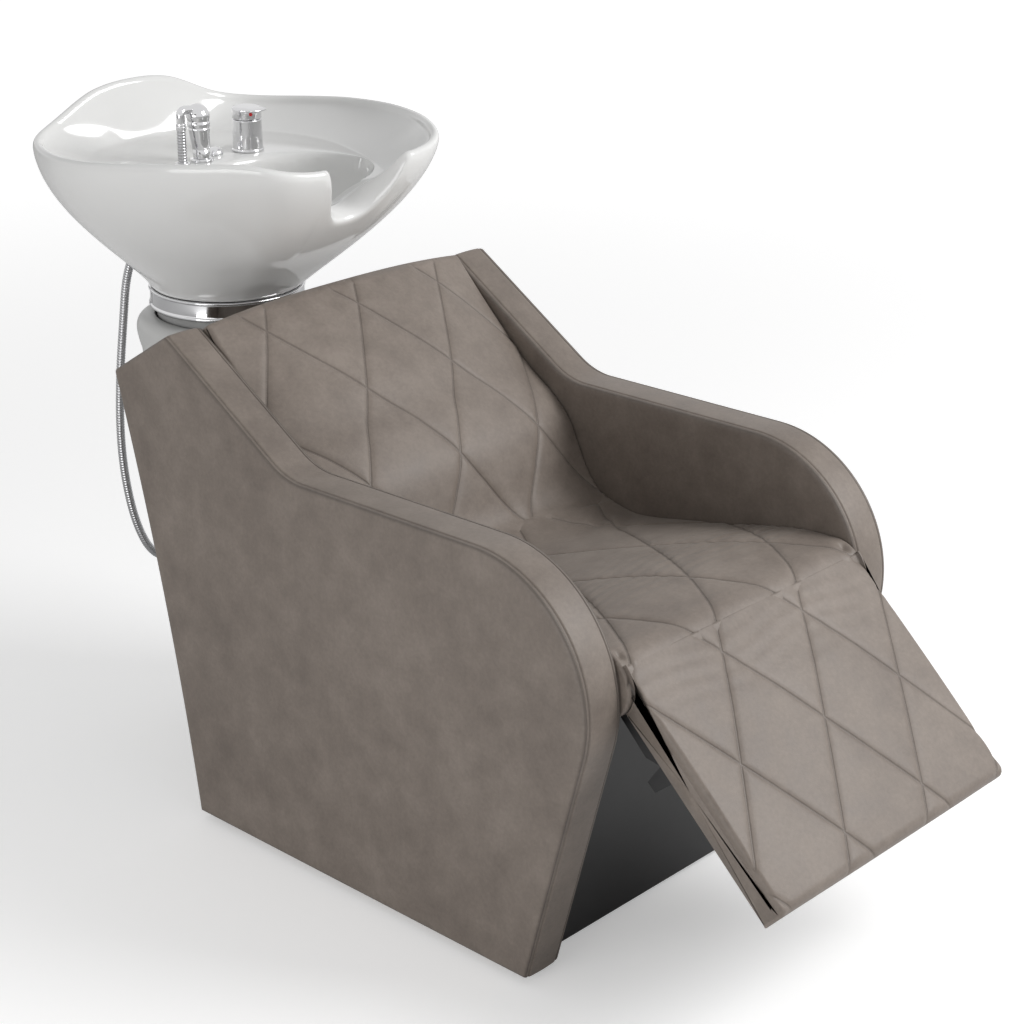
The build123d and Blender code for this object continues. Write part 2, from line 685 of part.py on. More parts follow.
# Hinge brackets on the side panels, with the pins that carry the legrest's arms
bracket_z = under_seat(board_front_y, seat_board_t) - 3 * eye_r
for side, hand in ((1, "left"), (-1, "right")):
    with BuildPart() as bracket:
        with BuildSketch(Plane.YZ.offset(side * arm_inner)):
            with Locations((hinge_y, hinge_z)):
                Circle(eye_r)
            with BuildLine():
                Polyline((hinge_y - eye_r, hinge_z), (hinge_y + eye_r, hinge_z),
                         (hinge_y + eye_r, bracket_z + 2 * eye_r),
                         (hinge_y + 5 * eye_r, bracket_z + 2 * eye_r),
                         (hinge_y + 5 * eye_r, bracket_z), (hinge_y + eye_r, bracket_z), close=True)
            make_face()
            with Locations((hinge_y, hinge_z)):
                Circle(pin_r, mode=Mode.SUBTRACT)
            with Locations((hinge_y + 4 * eye_r, bracket_z + eye_r),
                           (hinge_y + 2 * eye_r, bracket_z + eye_r)):
                Circle(pin_r / 2, mode=Mode.SUBTRACT)
        extrude(amount=-side * bracket_t)
    bracket.part.label = f"hinge_bracket_{hand}"
    export_step(bracket.part, f"parts/hinge_bracket_{hand}.step")

with BuildPart() as hinge_pins:
    for side in (1, -1):
        with BuildSketch(Plane.YZ.offset(side * arm_inner)):
            with Locations((hinge_y, hinge_z)):
                Circle(pin_r)
        extrude(amount=-side * (arm_inner - pin_inner_x))
        with BuildSketch(Plane.YZ.offset(side * (arm_plate_x - soft_gap))):
            with Locations((hinge_y, hinge_z)):
                Circle(pin_r * 1.5)
        extrude(amount=-side * (arm_plate_x - soft_gap - pin_inner_x))
        # shoulder between the arm and the bracket
        with BuildSketch(Plane.YZ.offset(side * (arm_inner - bracket_t))):
            with Locations((hinge_y, hinge_z)):
                Circle(pin_r * 1.5)
        extrude(amount=-side * (arm_inner - bracket_t - arm_plate_x - arm_plate_t - soft_gap))
hinge_pins.part.label = "hinge_pins"
export_step(hinge_pins.part, "parts/hinge_pins.step")

# Actuator: outer tube with its motor, rod with an eye, cross pin
act_dir = Vector(0, math.cos(math.radians(act_slope)), -math.sin(math.radians(act_slope)))


def act_plane(t, n=0):
    """Plane across the actuator's path, X across the chair, Z rearward along the path."""
    return Plane(origin=(0, *act_point(t, n)), x_dir=(1, 0, 0), z_dir=act_dir)


motor_drop = tube_r + motor_r + overrun
with BuildPart() as housing:
    with BuildSketch(act_plane(tube_front)):
        Circle(tube_r)
    extrude(amount=tube_length)
    with BuildSketch(act_plane(tube_front)):
        Circle(tube_r - tube_wall)
    extrude(amount=tube_length - motor_length, mode=Mode.SUBTRACT)
    # wiper ring at the mouth
    with BuildSketch(act_plane(tube_front)):
        Circle(tube_r)
        Circle(rod_r + soft_gap, mode=Mode.SUBTRACT)
    extrude(amount=2 * tube_wall)
    # gear case joins the tube to the motor under it; the local Y axis of the plane points down
    with BuildSketch(act_plane(tube_front + tube_length - motor_length / 3)):
        with Locations((0, 0)):
            Circle(tube_r + tube_wall)
        with Locations((0, motor_drop)):
            Circle(motor_r + tube_wall)
        with Locations((0, motor_drop / 2)):
            Rectangle(2 * tube_r, motor_drop)
    extrude(amount=motor_length / 3)
    with BuildSketch(act_plane(tube_front + tube_length - motor_length / 3)):
        with Locations((0, motor_drop)):
            Circle(motor_r)
    extrude(amount=-motor_length)
    # tongue for the foot pin
    with BuildSketch(Plane.YZ.offset(-tube_r / 2)):
        with BuildLine():
            Polyline(act_point(tube_front + tube_length - tube_wall, tube_r * 0.8),
                     act_point(tube_front + tube_length + 2 * tube_r, tube_r * 0.8),
                     act_point(tube_front + tube_length + 2 * tube_r, -tube_r * 0.8),
                     act_point(tube_front + tube_length - tube_wall, -tube_r * 0.8), close=True)
        make_face()
    extrude(amount=tube_r)
    with Locations(Location((0, *act_point(tube_front + tube_length + tube_r)), (0, 1, 0), 90)):
        Cylinder(cross_pin_r + run_gap, 2 * tube_r, mode=Mode.SUBTRACT)
housing.part.label = "actuator_housing"
export_step(housing.part, "parts/actuator_housing.step")

with BuildPart() as rod:
    with BuildSketch(act_plane(rod_rest)):
        Circle(rod_r)
    extrude(amount=rod_length)
    with Locations(Location((0, *pin_rest), (0, 1, 0), 90)):
        Cylinder(rod_eye_r, 2 * (cheek_gap - 2 * soft_gap))
        Cylinder(cross_pin_r, 2 * cheek_gap, mode=Mode.SUBTRACT)
rod.part.label = "actuator_rod"
export_step(rod.part, "parts/actuator_rod.step")

with BuildPart() as cross_pin:
    with Locations(Location((0, *pin_rest), (0, 1, 0), 90)):
        Cylinder(cross_pin_r, 2 * (cheek_gap + cheek_t + cheek_t / 2))
    for side in (1, -1):
        with BuildSketch(Plane.YZ.offset(side * (cheek_gap + cheek_t + 2 * soft_gap))):
            with Locations(pin_rest):
                Circle(cross_pin_r + slot_gap)
        extrude(amount=side * cheek_t / 2)
cross_pin.part.label = "actuator_cross_pin"
export_step(cross_pin.part, "parts/actuator_cross_pin.step")

# Foot bracket and pin behind the housing
foot_pin = act_point(tube_front + tube_length + tube_r)
frame_top = rail_lift + rail_h
with BuildPart() as foot_bracket:
    for side in (1, -1):
        with BuildSketch(Plane.YZ.offset(side * (tube_r / 2 + soft_gap))):
            with Locations(foot_pin):
                Circle(tube_r)
            with BuildLine():
                Polyline((foot_pin[0] - tube_r, foot_pin[1]), (foot_pin[0] + tube_r, foot_pin[1]),
                         (cross_mid_y + rail_w, frame_top), (cross_mid_y - rail_w, frame_top),
                         close=True)
            make_face()
            with Locations(foot_pin):
                Circle(cross_pin_r, mode=Mode.SUBTRACT)
        extrude(amount=side * cheek_t)
    with BuildSketch(Plane.XY.offset(frame_top)):
        with Locations((0, cross_mid_y)):
            Rectangle(2 * (tube_r + cheek_t), 2 * rail_w)
    extrude(amount=cheek_t)
foot_bracket.part.label = "actuator_foot_bracket"
export_step(foot_bracket.part, "parts/actuator_foot_bracket.step")

with BuildPart() as foot_pin_part:
    with Locations(Location((0, *foot_pin), (0, 1, 0), 90)):
        Cylinder(cross_pin_r, 2 * (tube_r / 2 + soft_gap + cheek_t + cheek_t / 2))
foot_pin_part.part.label = "actuator_foot_pin"
export_step(foot_pin_part.part, "parts/actuator_foot_pin.step")

# Underframe: welded box tube with end plates and a saddle post for the actuator
saddle_t_path = (cross_front_y - act_point(0)[0]) / math.cos(math.radians(act_slope))
cross_ys = (cross_front_y, cross_mid_y, cross_rear_y)
cross_half = arm_inner - end_plate_t
with BuildPart() as crosses:
    for y in cross_ys:
        with BuildSketch(Plane.YZ.offset(-cross_half)):
            with Locations((y, rail_lift + rail_h / 2)):
                Rectangle(rail_w, rail_h)
                Rectangle(rail_w - 2 * rail_t, rail_h - 2 * rail_t, mode=Mode.SUBTRACT)
        extrude(amount=2 * cross_half)
        for side in (1, -1):
            with BuildSketch(Plane.YZ.offset(side * cross_half)):
                with Locations((y, floor_gap)):
                    Rectangle(end_plate_w, end_plate_h, align=(Align.CENTER, Align.MIN))
                with Locations((y - end_plate_w / 3, floor_gap + end_plate_h * 0.75),
                               (y + end_plate_w / 3, floor_gap + end_plate_h * 0.75)):
                    Circle(pin_r / 2, mode=Mode.SUBTRACT)
            extrude(amount=side * end_plate_t)
crosses.part.label = "underframe_crosses"
export_step(crosses.part, "parts/underframe_crosses.step")

rail_stops = cross_ys + (column_y + rail_w / 2,)
with BuildPart() as rails:
    for near, far in zip(rail_stops, rail_stops[1:]):
        for side in (1, -1):
            with BuildSketch(Plane.XZ.offset(-near - rail_w / 2)):
                with Locations((side * rail_x, rail_lift + rail_h / 2)):
                    Rectangle(rail_w, rail_h)
                    Rectangle(rail_w - 2 * rail_t, rail_h - 2 * rail_t, mode=Mode.SUBTRACT)
            extrude(amount=-(far - near - rail_w))
rails.part.label = "underframe_rails"
export_step(rails.part, "parts/underframe_rails.step")

saddle_z = act_point(saddle_t_path)[1]
with BuildPart() as saddle_post:
    with BuildSketch(Plane.XY.offset(frame_top)):
        with Locations((0, cross_front_y)):
            Rectangle(rail_w, rail_w)
            Rectangle(rail_w - 2 * rail_t, rail_w - 2 * rail_t, mode=Mode.SUBTRACT)
    extrude(amount=saddle_z - frame_top)
    with BuildSketch(act_plane(saddle_t_path - 2 * rail_w)):
        Circle(tube_r + soft_gap)
    extrude(amount=4 * rail_w, mode=Mode.SUBTRACT)
    with BuildSketch(Plane.XY.offset(saddle_z - tube_r / 2)):
        with Locations((0, cross_front_y)):
            Rectangle(2 * rail_w, 2 * rail_w)
    extrude(amount=2 * rail_w, mode=Mode.SUBTRACT)
saddle_post.part.label = "actuator_post"
export_step(saddle_post.part, "parts/actuator_post.step")

with BuildPart() as glides:
    for side in (1, -1):
        for y in (glide_y_front, glide_y_rear):
            with BuildSketch(Plane.XY):
                with Locations((side * (half_width - arm_thick / 2), y)):
                    Circle(glide_r)
            extrude(amount=floor_gap)
    fillet(glides.edges().group_by(Axis.Z)[0], radius=sheet_t)
glides.part.label = "glides"
export_step(glides.part, "parts/glides.step")

# Column: base plate and post, cover shell, tilt head
post_y = column_y + post_back
with BuildPart() as column_post:
    with BuildSketch():
        with Locations((0, column_y)):
            Circle(base_plate_r)
    extrude(amount=base_plate_t)
    with BuildSketch(Plane.XY.offset(base_plate_t)):
        with Locations((0, post_y)):
            Circle(post_r)
            Circle(post_r - post_t, mode=Mode.SUBTRACT)
    extrude(amount=post_top - base_plate_t)
column_post.part.label = "column_post"
export_step(column_post.part, "parts/column_post.step")


def cover_points(inset):
    """Half outline of the column cover, inset from its outer face."""
    return [(cover_foot_r - inset, base_plate_t), (cover_waist_r - inset, cover_waist_z),
            (cover_max_r - inset, cover_max_z - inset / 2), (cover_top_r - inset, cover_top_z)]


with BuildPart() as column_cover:
    for inset, mode in ((0, Mode.ADD), (cover_wall, Mode.SUBTRACT)):
        foot, waist, widest, top = cover_points(inset)
        with BuildSketch(Plane.XZ.offset(-column_y)):
            with BuildLine():
                Line((0, foot[1]), foot)
                Line(foot, waist)
                Spline(waist, widest, top,
                       tangents=[(waist[0] - foot[0], waist[1] - foot[1]), (-1, 0.7)])
                Line(top, (0, top[1]))
                Line((0, top[1]), (0, foot[1]))
            make_face()
        revolve(axis=Axis((0, column_y, 0), (0, 0, 1)), mode=mode)
    # mouth cut on a slant, low at the front so that the neck can tilt
    mouth_half = cover_max_r + overrun
    mouth_rise = (cover_mouth_rear - cover_mouth_front) / (2 * cover_top_r)
    with BuildSketch(Plane.YZ.offset(-mouth_half)):
        with BuildLine():
            Polyline((column_y - mouth_half, cover_mouth_front - mouth_rise * (mouth_half - cover_top_r)),
                     (column_y + mouth_half, cover_mouth_rear + mouth_rise * (mouth_half - cover_top_r)),
                     (column_y + mouth_half, cover_top_z + mouth_half),
                     (column_y - mouth_half, cover_top_z + mouth_half), close=True)
        make_face()
    extrude(amount=2 * mouth_half, mode=Mode.SUBTRACT)
    # way in for the underframe's rails
    with BuildSketch(Plane.XZ.offset(-column_y)):
        with Locations((0, base_plate_t)):
            Rectangle(2 * rail_x + rail_w + overrun, rail_h + overrun,
                      align=(Align.CENTER, Align.MIN))
    extrude(amount=cover_max_r, mode=Mode.SUBTRACT)
column_cover.part.label = "column_cover"
export_step(column_cover.part, "parts/column_cover.step")

# Tilt head: saddle plate and two ears with the tilt pins
with BuildPart() as tilt_head:
    with BuildSketch(Plane.XY.offset(post_top)):
        with Locations((0, post_y)):
            RectangleRounded(2 * (ear_x + ear_t), 2 * (post_r + saddle_t), saddle_t / 2)
    extrude(amount=saddle_t)
    for side in (1, -1):
        with BuildSketch(Plane.YZ.offset(side * ear_x)):
            with Locations((column_y, tilt_z)):
                Circle(ear_half)
            with BuildLine():
                Polyline((column_y - ear_half, tilt_z), (column_y + ear_half, tilt_z),
                         (post_y + post_r, post_top + saddle_t), (post_y - post_r, post_top + saddle_t),
                         close=True)
            make_face()
            with Locations((column_y, tilt_z)):
                Circle(tilt_pin_r, mode=Mode.SUBTRACT)
        extrude(amount=side * ear_t)
tilt_head.part.label = "tilt_head"
export_step(tilt_head.part, "parts/tilt_head.step")

lug_x = ear_x + ear_t + 2 * soft_gap
with BuildPart() as tilt_pins:
    for side in (1, -1):
        with BuildSketch(Plane.YZ.offset(side * (ear_x - ear_t / 2))):
            with Locations((column_y, tilt_z)):
                Circle(tilt_pin_r)
        extrude(amount=side * (lug_x + lug_t + ear_t / 2 - ear_x + ear_t / 2))
tilt_pins.part.label = "tilt_pins"
export_step(tilt_pins.part, "parts/tilt_pins.step")

# Basin cradle: plate inside the ring, lugs on the tilt pins
waste_y = column_y - 1.8 * post_r
with BuildPart() as cradle:
    with BuildSketch(Plane.XY.offset(ring_low)):
        with Locations((0, column_y)):
            Circle(ring_r - ring_wall - soft_gap)
        with Locations((0, waste_y)):
            Circle(tail_r + 2 * overrun, mode=Mode.SUBTRACT)
        for side in (1, -1):
            with Locations((side * ring_r / 2, column_y + ring_r / 2)):
                SlotOverall(ring_r * 0.8, ring_r / 3, rotation=side * 70, mode=Mode.SUBTRACT)
    extrude(amount=cradle_t)
    for side in (1, -1):
        with BuildSketch(Plane.YZ.offset(side * lug_x)):
            with Locations((column_y, tilt_z)):
                Circle(ear_half)
            with BuildLine():
                Polyline((column_y - ear_half, tilt_z), (column_y + ear_half, tilt_z),
                         (column_y + 1.5 * ear_half, ring_low), (column_y - 1.5 * ear_half, ring_low),
                         close=True)
            make_face()
            with Locations((column_y, tilt_z)):
                Circle(tilt_pin_r + run_gap, mode=Mode.SUBTRACT)
        extrude(amount=side * lug_t)
cradle.part.label = "basin_cradle"
export_step(cradle.part, "parts/basin_cradle.step")

with BuildPart() as neck:
    with BuildSketch(Plane.XY.offset(neck_low)):
        with Locations((0, column_y)):
            Circle(neck_r)
            Circle(neck_r - neck_wall, mode=Mode.SUBTRACT)
    extrude(amount=ring_low - neck_low)
neck.part.label = "neck_collar"
export_step(neck.part, "parts/neck_collar.step")

# Chrome ring with a rolled lip at each edge and a chamfer under the lower one
with BuildPart() as ring:
    inner, outer = ring_r - ring_wall, ring_r + ring_lip
    lip = 2 * ring_lip
    with BuildSketch(Plane.XZ.offset(-column_y)):
        with BuildLine():
            Polyline((inner, ring_low), (outer - ring_chamfer, ring_low),
                     (outer, ring_low + ring_chamfer), (outer, ring_low + ring_chamfer + ring_lip))
            ThreePointArc((outer, ring_low + ring_chamfer + ring_lip),
                          (ring_r + ring_lip * 0.7, ring_low + ring_chamfer + 1.7 * ring_lip),
                          (ring_r, ring_low + ring_chamfer + lip))
            Line((ring_r, ring_low + ring_chamfer + lip), (ring_r, basin_foot_z - lip))
            ThreePointArc((ring_r, basin_foot_z - lip), (outer, basin_foot_z - lip / 2),
                          (ring_r, basin_foot_z))
            Polyline((ring_r, basin_foot_z), (inner, basin_foot_z), (inner, ring_low))
        make_face()
    revolve(axis=Axis((0, column_y, 0), (0, 0, 1)))
ring.part.label = "basin_ring"
export_step(ring.part, "parts/basin_ring.step")


# Basin: every level of its hull lies between a round foot on the ring and the rim's outline
def rim_place(u, v):
    return Vector(u * basin_half, neck_y + v * basin_length - column_y)


def hull_level(level, inset=0):
    """Outline of the hull at a share of its height, as places about the column's axis."""
    half = []
    for u, v in [(0, 0)] + rim_share + [(0, 1)]:
        rim = rim_place(u, v)
        start = rim.normalized() * hull_start_r
        lift, flare = (1.54, 0.90) if rim.Y < 0 else (1.70, 0.88)
        place = start + (rim - start) * (1 - (1 - level) ** lift) ** (1 / flare)
        place = place - place.normalized() * inset
        half.append((place.X, place.Y + column_y))
    return half + [(-x, y) for x, y in reversed(half[1:-1])]


def level_z(level):
    return lerp(hull_start_z, rim_z, level)


def inner_level(blend):
    """Outline of the wet side from the shelf's foot (0) to the inside of the rim (1)."""
    half = [(0, neck_y + foot_share[0][1] * basin_length * (1 - blend) + rim_t * blend)]
    for (u, v), (p, q) in zip(rim_share, foot_share):
        rim = rim_place(u, v)
        rim = rim - rim.normalized() * rim_t
        foot = rim_place(p, q)
        half.append((lerp(foot.X, rim.X, blend), lerp(foot.Y, rim.Y, blend) + column_y))
    half.append((0, lerp(rim_place(0, foot_share[-1][1]).Y, rim_place(0, 1).Y - rim_t, blend)
                 + column_y))
    return half + [(-x, y) for x, y in reversed(half[1:-1])]


basin_peak = rim_z + 2 * arch_rise
with BuildPart() as basin_hull:
    for level in hull_level_share:
        z = basin_foot_z if level == hull_level_share[0] else level_z(level)
        with BuildSketch(Plane.XY.offset(z)):
            with BuildLine():
                Spline(hull_level(level), periodic=True)
            make_face()
    loft()
    with BuildSketch(Plane.XY.offset(rim_z)):
        with BuildLine():
            Spline(hull_level(1), periodic=True)
        make_face()
    extrude(amount=basin_peak - rim_z)

with BuildPart() as basin_hollow:
    with BuildSketch(Plane.XY.offset(basin_foot_z - overrun)):
        with Locations((0, column_y)):
            Circle(ring_r - ring_wall)
    extrude(amount=2 * overrun)
    for level in hull_level_share[:1] + hollow_level_share + [1 - (rim_z - deck_z + hull_wall)
                                                            / (rim_z - hull_start_z)]:
        with BuildSketch(Plane.XY.offset(basin_foot_z if level < 0.1 else level_z(level))):
            with BuildLine():
                Spline(hull_level(level, hull_wall), periodic=True)
            make_face()
    loft()


def bowl_solid(wall):
    """Bowl from its floor to the shelf; it leans forward as it rises."""
    with BuildPart() as bowl:
        for up, wide, long, back in bowl_level_share:
            z = lerp(bowl_floor_z - wall, deck_z, up)
            with BuildSketch(Plane.XY.offset(z)):
                with Locations((0, lerp(bowl_y, drain_y, back))):
                    Ellipse(bowl_half_x * wide + wall, bowl_half_y * long + wall)
        loft()
    return bowl.part


with BuildPart() as basin:
    add(basin_hull.part)
    add(basin_hollow.part, mode=Mode.SUBTRACT)
    add(bowl_solid(hull_wall))
    add(bowl_solid(0), mode=Mode.SUBTRACT)
    # wet side above the shelf
    for blend, z in ((0, deck_z), (0.55, lerp(deck_z, rim_z, 0.45)), (1, rim_z)):
        with BuildSketch(Plane.XY.offset(z)):
            with BuildLine():
                Spline(inner_level(blend), periodic=True)
            make_face()
    loft(mode=Mode.SUBTRACT)
    with BuildSketch(Plane.XY.offset(rim_z)):
        with BuildLine():
            Spline(inner_level(1), periodic=True)
        make_face()
    extrude(amount=basin_peak - rim_z, mode=Mode.SUBTRACT)
    # neck rest: a round trough that falls into the bowl
    trough_fall = neck_half / 2
    trough_front = (neck_y - rim_t, neck_floor_z + neck_half + overrun)
    trough_end = (bowl_y, trough_front[1] - trough_fall)
    with BuildSketch(Plane(origin=(0, *trough_front), x_dir=(1, 0, 0),
                           z_dir=(0, trough_end[0] - trough_front[0], -trough_fall))):
        Circle(neck_half)
        with Locations((0, -neck_half)):
            Rectangle(2 * neck_half, 2 * neck_half)
    extrude(amount=bowl_y - neck_y, mode=Mode.SUBTRACT)

# Rim line seen from the side, and the raised lobe at the rear
with BuildPart() as rim_trim:
    with BuildSketch(Plane.YZ.offset(-basin_half - overrun)):
        line = [(neck_y + v * basin_length, rim_z + w * basin_length) for v, w in side_trim_share]
        with BuildLine():
            Spline(line)
            Polyline(line[-1], (line[-1][0], basin_peak + overrun),
                     (line[0][0], basin_peak + overrun), line[0])
        make_face()
    extrude(amount=2 * (basin_half + overrun))
    with BuildSketch(Plane.XZ.offset(-neck_y - 0.78 * basin_length)):
        low = line[-1][1] - 2 * overrun
        arch = [(share * basin_half, line[-1][1] + arch_rise
                 * math.exp(-abs(share * basin_half / arch_half) ** arch_power))
                for share in arch_line_share]
        with BuildLine():
            Spline(arch)
            Polyline(arch[-1], (arch[-1][0], low), (arch[0][0], low), arch[0])
        make_face()
    extrude(amount=-basin_length, mode=Mode.SUBTRACT)

with BuildPart() as basin_body:
    add(basin.part)
    add(rim_trim.part, mode=Mode.SUBTRACT)
    # holes in the shelf, the drain and the service opening underneath
    with BuildSketch(Plane.XY.offset(deck_z - hull_wall - overrun)):
        with Locations((mixer_x, mixer_y)):
            Circle(mixer_hole_r)
        with Locations((shower_x, shower_y)):
            Circle(socket_bore_r + socket_wall)
        with Locations((hose_x, hose_y)):
            Circle(hose_bore_r + run_gap)
    extrude(amount=hull_wall + 2 * overrun, mode=Mode.SUBTRACT)
    with BuildSketch(Plane.XY.offset(bowl_floor_z - hull_wall - overrun)):
        with Locations((0, drain_y)):
            Circle(drain_r - overrun)
    extrude(amount=hull_wall + 4 * overrun, mode=Mode.SUBTRACT)
    with BuildSketch(Plane.XY.offset(basin_foot_z)):
        with Locations((0, service_y)):
            SlotOverall(2 * service_x, 2 * service_half)
    extrude(amount=basin_foot_z / 8, mode=Mode.SUBTRACT)
basin_body.part.label = "basin"
export_step(basin_body.part, "parts/basin.step")

with BuildPart() as strainer:
    with BuildSketch(Plane.XY.offset(bowl_floor_z)):
        with Locations((0, drain_y)):
            Circle(drain_r)
            with PolarLocations(drain_r * 0.55, 8):
                Circle(drain_r / 8, mode=Mode.SUBTRACT)
    extrude(amount=sheet_t)
strainer.part.label = "drain_strainer"
export_step(strainer.part, "parts/drain_strainer.step")

# Waste: tail under the bowl, bent back to the column's middle, above an open funnel pipe
trap_top = bowl_floor_z
trap_bend_z = ring_low + cradle_t + 3 * tail_r
trap_low = ring_low - 4.5 * tail_r
funnel_top = trap_low + tail_r
with BuildPart() as trap:
    with BuildLine():
        FilletPolyline((0, drain_y, trap_top), (0, drain_y, trap_bend_z), (0, waste_y, trap_bend_z),
                       (0, waste_y, trap_low), radius=tail_r * 1.2)
    with BuildSketch(Plane.XY.offset(trap_top)):
        with Locations((0, drain_y)):
            Circle(tail_r)
            Circle(tail_r - post_t / 2, mode=Mode.SUBTRACT)
    sweep()
trap.part.label = "waste_trap"
export_step(trap.part, "parts/waste_trap.step")

funnel_r = 1.8 * tail_r
with BuildPart() as stack:
    for inset, mode in ((0, Mode.ADD), (post_t / 2, Mode.SUBTRACT)):
        with BuildSketch(Plane.XZ.offset(-waste_y)):
            with BuildLine():
                Polyline((0, base_plate_t), (tail_r - inset, base_plate_t),
                         (tail_r - inset, funnel_top - 5 * tail_r),
                         (funnel_r - inset, funnel_top - 2 * tail_r), (funnel_r - inset, funnel_top),
                         (0, funnel_top), close=True)
            make_face()
        revolve(axis=Axis((0, waste_y, 0), (0, 0, 1)), mode=mode)
stack.part.label = "waste_stack"
export_step(stack.part, "parts/waste_stack.step")

# Mixer: flanged body with its shank and nut, then the turning core and the lever
with BuildPart() as mixer:
    with BuildSketch(Plane.XY.offset(deck_z)):
        with Locations((mixer_x, mixer_y)):
            Circle(mixer_r + flange_t / 2)
    extrude(amount=flange_t)
    with BuildSketch(Plane.XY.offset(deck_z)):
        with Locations((mixer_x, mixer_y)):
            Circle(mixer_r)
    extrude(amount=mixer_h)
    with BuildSketch(Plane.XY.offset(deck_z)):
        with Locations((mixer_x, mixer_y)):
            Circle(shank_r)
    extrude(amount=-hull_wall - nut_t - shank_r)
    fillet(mixer.edges().filter_by(GeomType.CIRCLE).group_by(Axis.Z)[-1], radius=flange_t / 2)
mixer.part.label = "mixer_body"
export_step(mixer.part, "parts/mixer_body.step")

with BuildPart() as mixer_nut:
    with BuildSketch(Plane.XY.offset(deck_z - hull_wall)):
        with Locations((mixer_x, mixer_y)):
            RegularPolygon(mixer_r, 6)
            Circle(shank_r, mode=Mode.SUBTRACT)
    extrude(amount=-nut_t)
mixer_nut.part.label = "mixer_nut"
export_step(mixer_nut.part, "parts/mixer_nut.step")

lever_z = deck_z + mixer_h + lever_gap
core_r = mixer_r * 0.5
with BuildPart() as mixer_core:
    with BuildSketch(Plane.XY.offset(deck_z + mixer_h)):
        with Locations((mixer_x, mixer_y)):
            Circle(core_r)
    extrude(amount=lever_gap + lever_h * lever_hollow_share - soft_gap)
mixer_core.part.label = "mixer_core"
export_step(mixer_core.part, "parts/mixer_core.step")

with BuildPart() as lever:
    with BuildSketch(Plane.XY.offset(lever_z)):
        with Locations((mixer_x, mixer_y)):
            Circle(mixer_r)
    extrude(amount=lever_h)
    with BuildSketch(Plane.XY.offset(lever_z + lever_h - lever_lip)):
        with Locations((mixer_x, mixer_y - mixer_r)):
            RectangleRounded(mixer_r, 2 * lever_nose, lever_nose / 2)
    extrude(amount=lever_lip)
    fillet(lever.edges().group_by(Axis.Z)[-1], radius=flange_t)
    # hollow over the core, long enough for the lever's lift
    with BuildSketch(Plane.XY.offset(lever_z)):
        with Locations((mixer_x, mixer_y)):
            Circle(core_r + lever_play)
    extrude(amount=lever_h * lever_hollow_share, mode=Mode.SUBTRACT)
lever.part.label = "mixer_lever"
export_step(lever.part, "parts/mixer_lever.step")

cap_dome = (cap_r ** 2 + cap_h ** 2) / (2 * cap_h)
with BuildPart() as cap:
    with Locations((cap_x, cap_y, deck_z + cap_h - cap_dome)):
        Sphere(cap_dome)
    split(bisect_by=Plane.XY.offset(deck_z), keep=Keep.TOP)
cap.part.label = "shelf_cap"
export_step(cap.part, "parts/shelf_cap.step")

with BuildPart() as socket:
    with BuildSketch(Plane.XY.offset(deck_z)):
        with Locations((shower_x, shower_y)):
            Circle(socket_r)
            Circle(socket_bore_r, mode=Mode.SUBTRACT)
    extrude(amount=socket_h)
    fillet(socket.edges().group_by(Axis.Z)[-1].sort_by(SortBy.LENGTH)[-1], radius=socket_h / 3)
    with BuildSketch(Plane.XY.offset(deck_z)):
        with Locations((shower_x, shower_y)):
            Circle(socket_bore_r + socket_wall)
            Circle(socket_bore_r, mode=Mode.SUBTRACT)
    extrude(amount=-shower_shank)
socket.part.label = "shower_socket"
export_step(socket.part, "parts/shower_socket.step")

with BuildPart() as grommet:
    with BuildSketch(Plane.XY.offset(deck_z)):
        with Locations((hose_x, hose_y)):
            Circle(grommet_r)
            Circle(hose_r + hose_play, mode=Mode.SUBTRACT)
    extrude(amount=flange_t)
    with BuildSketch(Plane.XY.offset(deck_z)):
        with Locations((hose_x, hose_y)):
            Circle(hose_bore_r)
            Circle(hose_r + hose_play, mode=Mode.SUBTRACT)
    extrude(amount=-hull_wall)
grommet.part.label = "hose_grommet"
export_step(grommet.part, "parts/hose_grommet.step")

# Hand shower: shank in the socket, leaning handle, ball head, elbow and nut on the hose
lean_x = -math.sin(math.radians(shower_lean)) * math.sqrt(0.5)
lean_y = math.sin(math.radians(shower_lean)) * math.sqrt(0.5)
lean_dir = Vector(lean_x, lean_y, math.cos(math.radians(shower_lean)))
handle_z = deck_z + socket_h
ball_rise = shower_h - socket_h - shower_ball_r
ball = Vector(shower_x, shower_y, handle_z) + lean_dir * ball_rise
with BuildPart() as shower:
    with BuildSketch(Plane.XY.offset(handle_z)):
        with Locations((shower_x, shower_y)):
            Circle(shower_shank_r)
    extrude(amount=-shower_shank)
    for rise, radius in ((0, shower_low_r), (ball_rise * 0.35, shower_low_r + soft_gap),
                         (ball_rise, shower_high_r)):
        with BuildSketch(Plane(origin=Vector(shower_x, shower_y, handle_z) + lean_dir * rise,
                               x_dir=(1, 0, 0), z_dir=(0, 0, 1))):
            Circle(radius)
    loft()
    with Locations(ball):
        Sphere(shower_ball_r)
shower.part.label = "hand_shower"
export_step(shower.part, "parts/hand_shower.step")

# elbow from the ball over to the hose, and the nut that holds the hose
nut_top = Vector(hose_x, hose_y, ball.Z - elbow_bend)
elbow_start = ball + Vector(-shower_ball_r * 0.6, 0, 0)
elbow_peak = Vector(hose_x, hose_y, ball.Z + elbow_r / 2)
with BuildPart() as elbow:
    with BuildLine():
        FilletPolyline(elbow_start, elbow_peak, nut_top, radius=elbow_bend)
    with BuildSketch(Plane(origin=elbow_start, z_dir=elbow_peak - elbow_start)):
        Circle(elbow_r)
    sweep()
    with Locations(ball):
        Sphere(shower_ball_r, mode=Mode.SUBTRACT)
elbow.part.label = "shower_elbow"
export_step(elbow.part, "parts/shower_elbow.step")

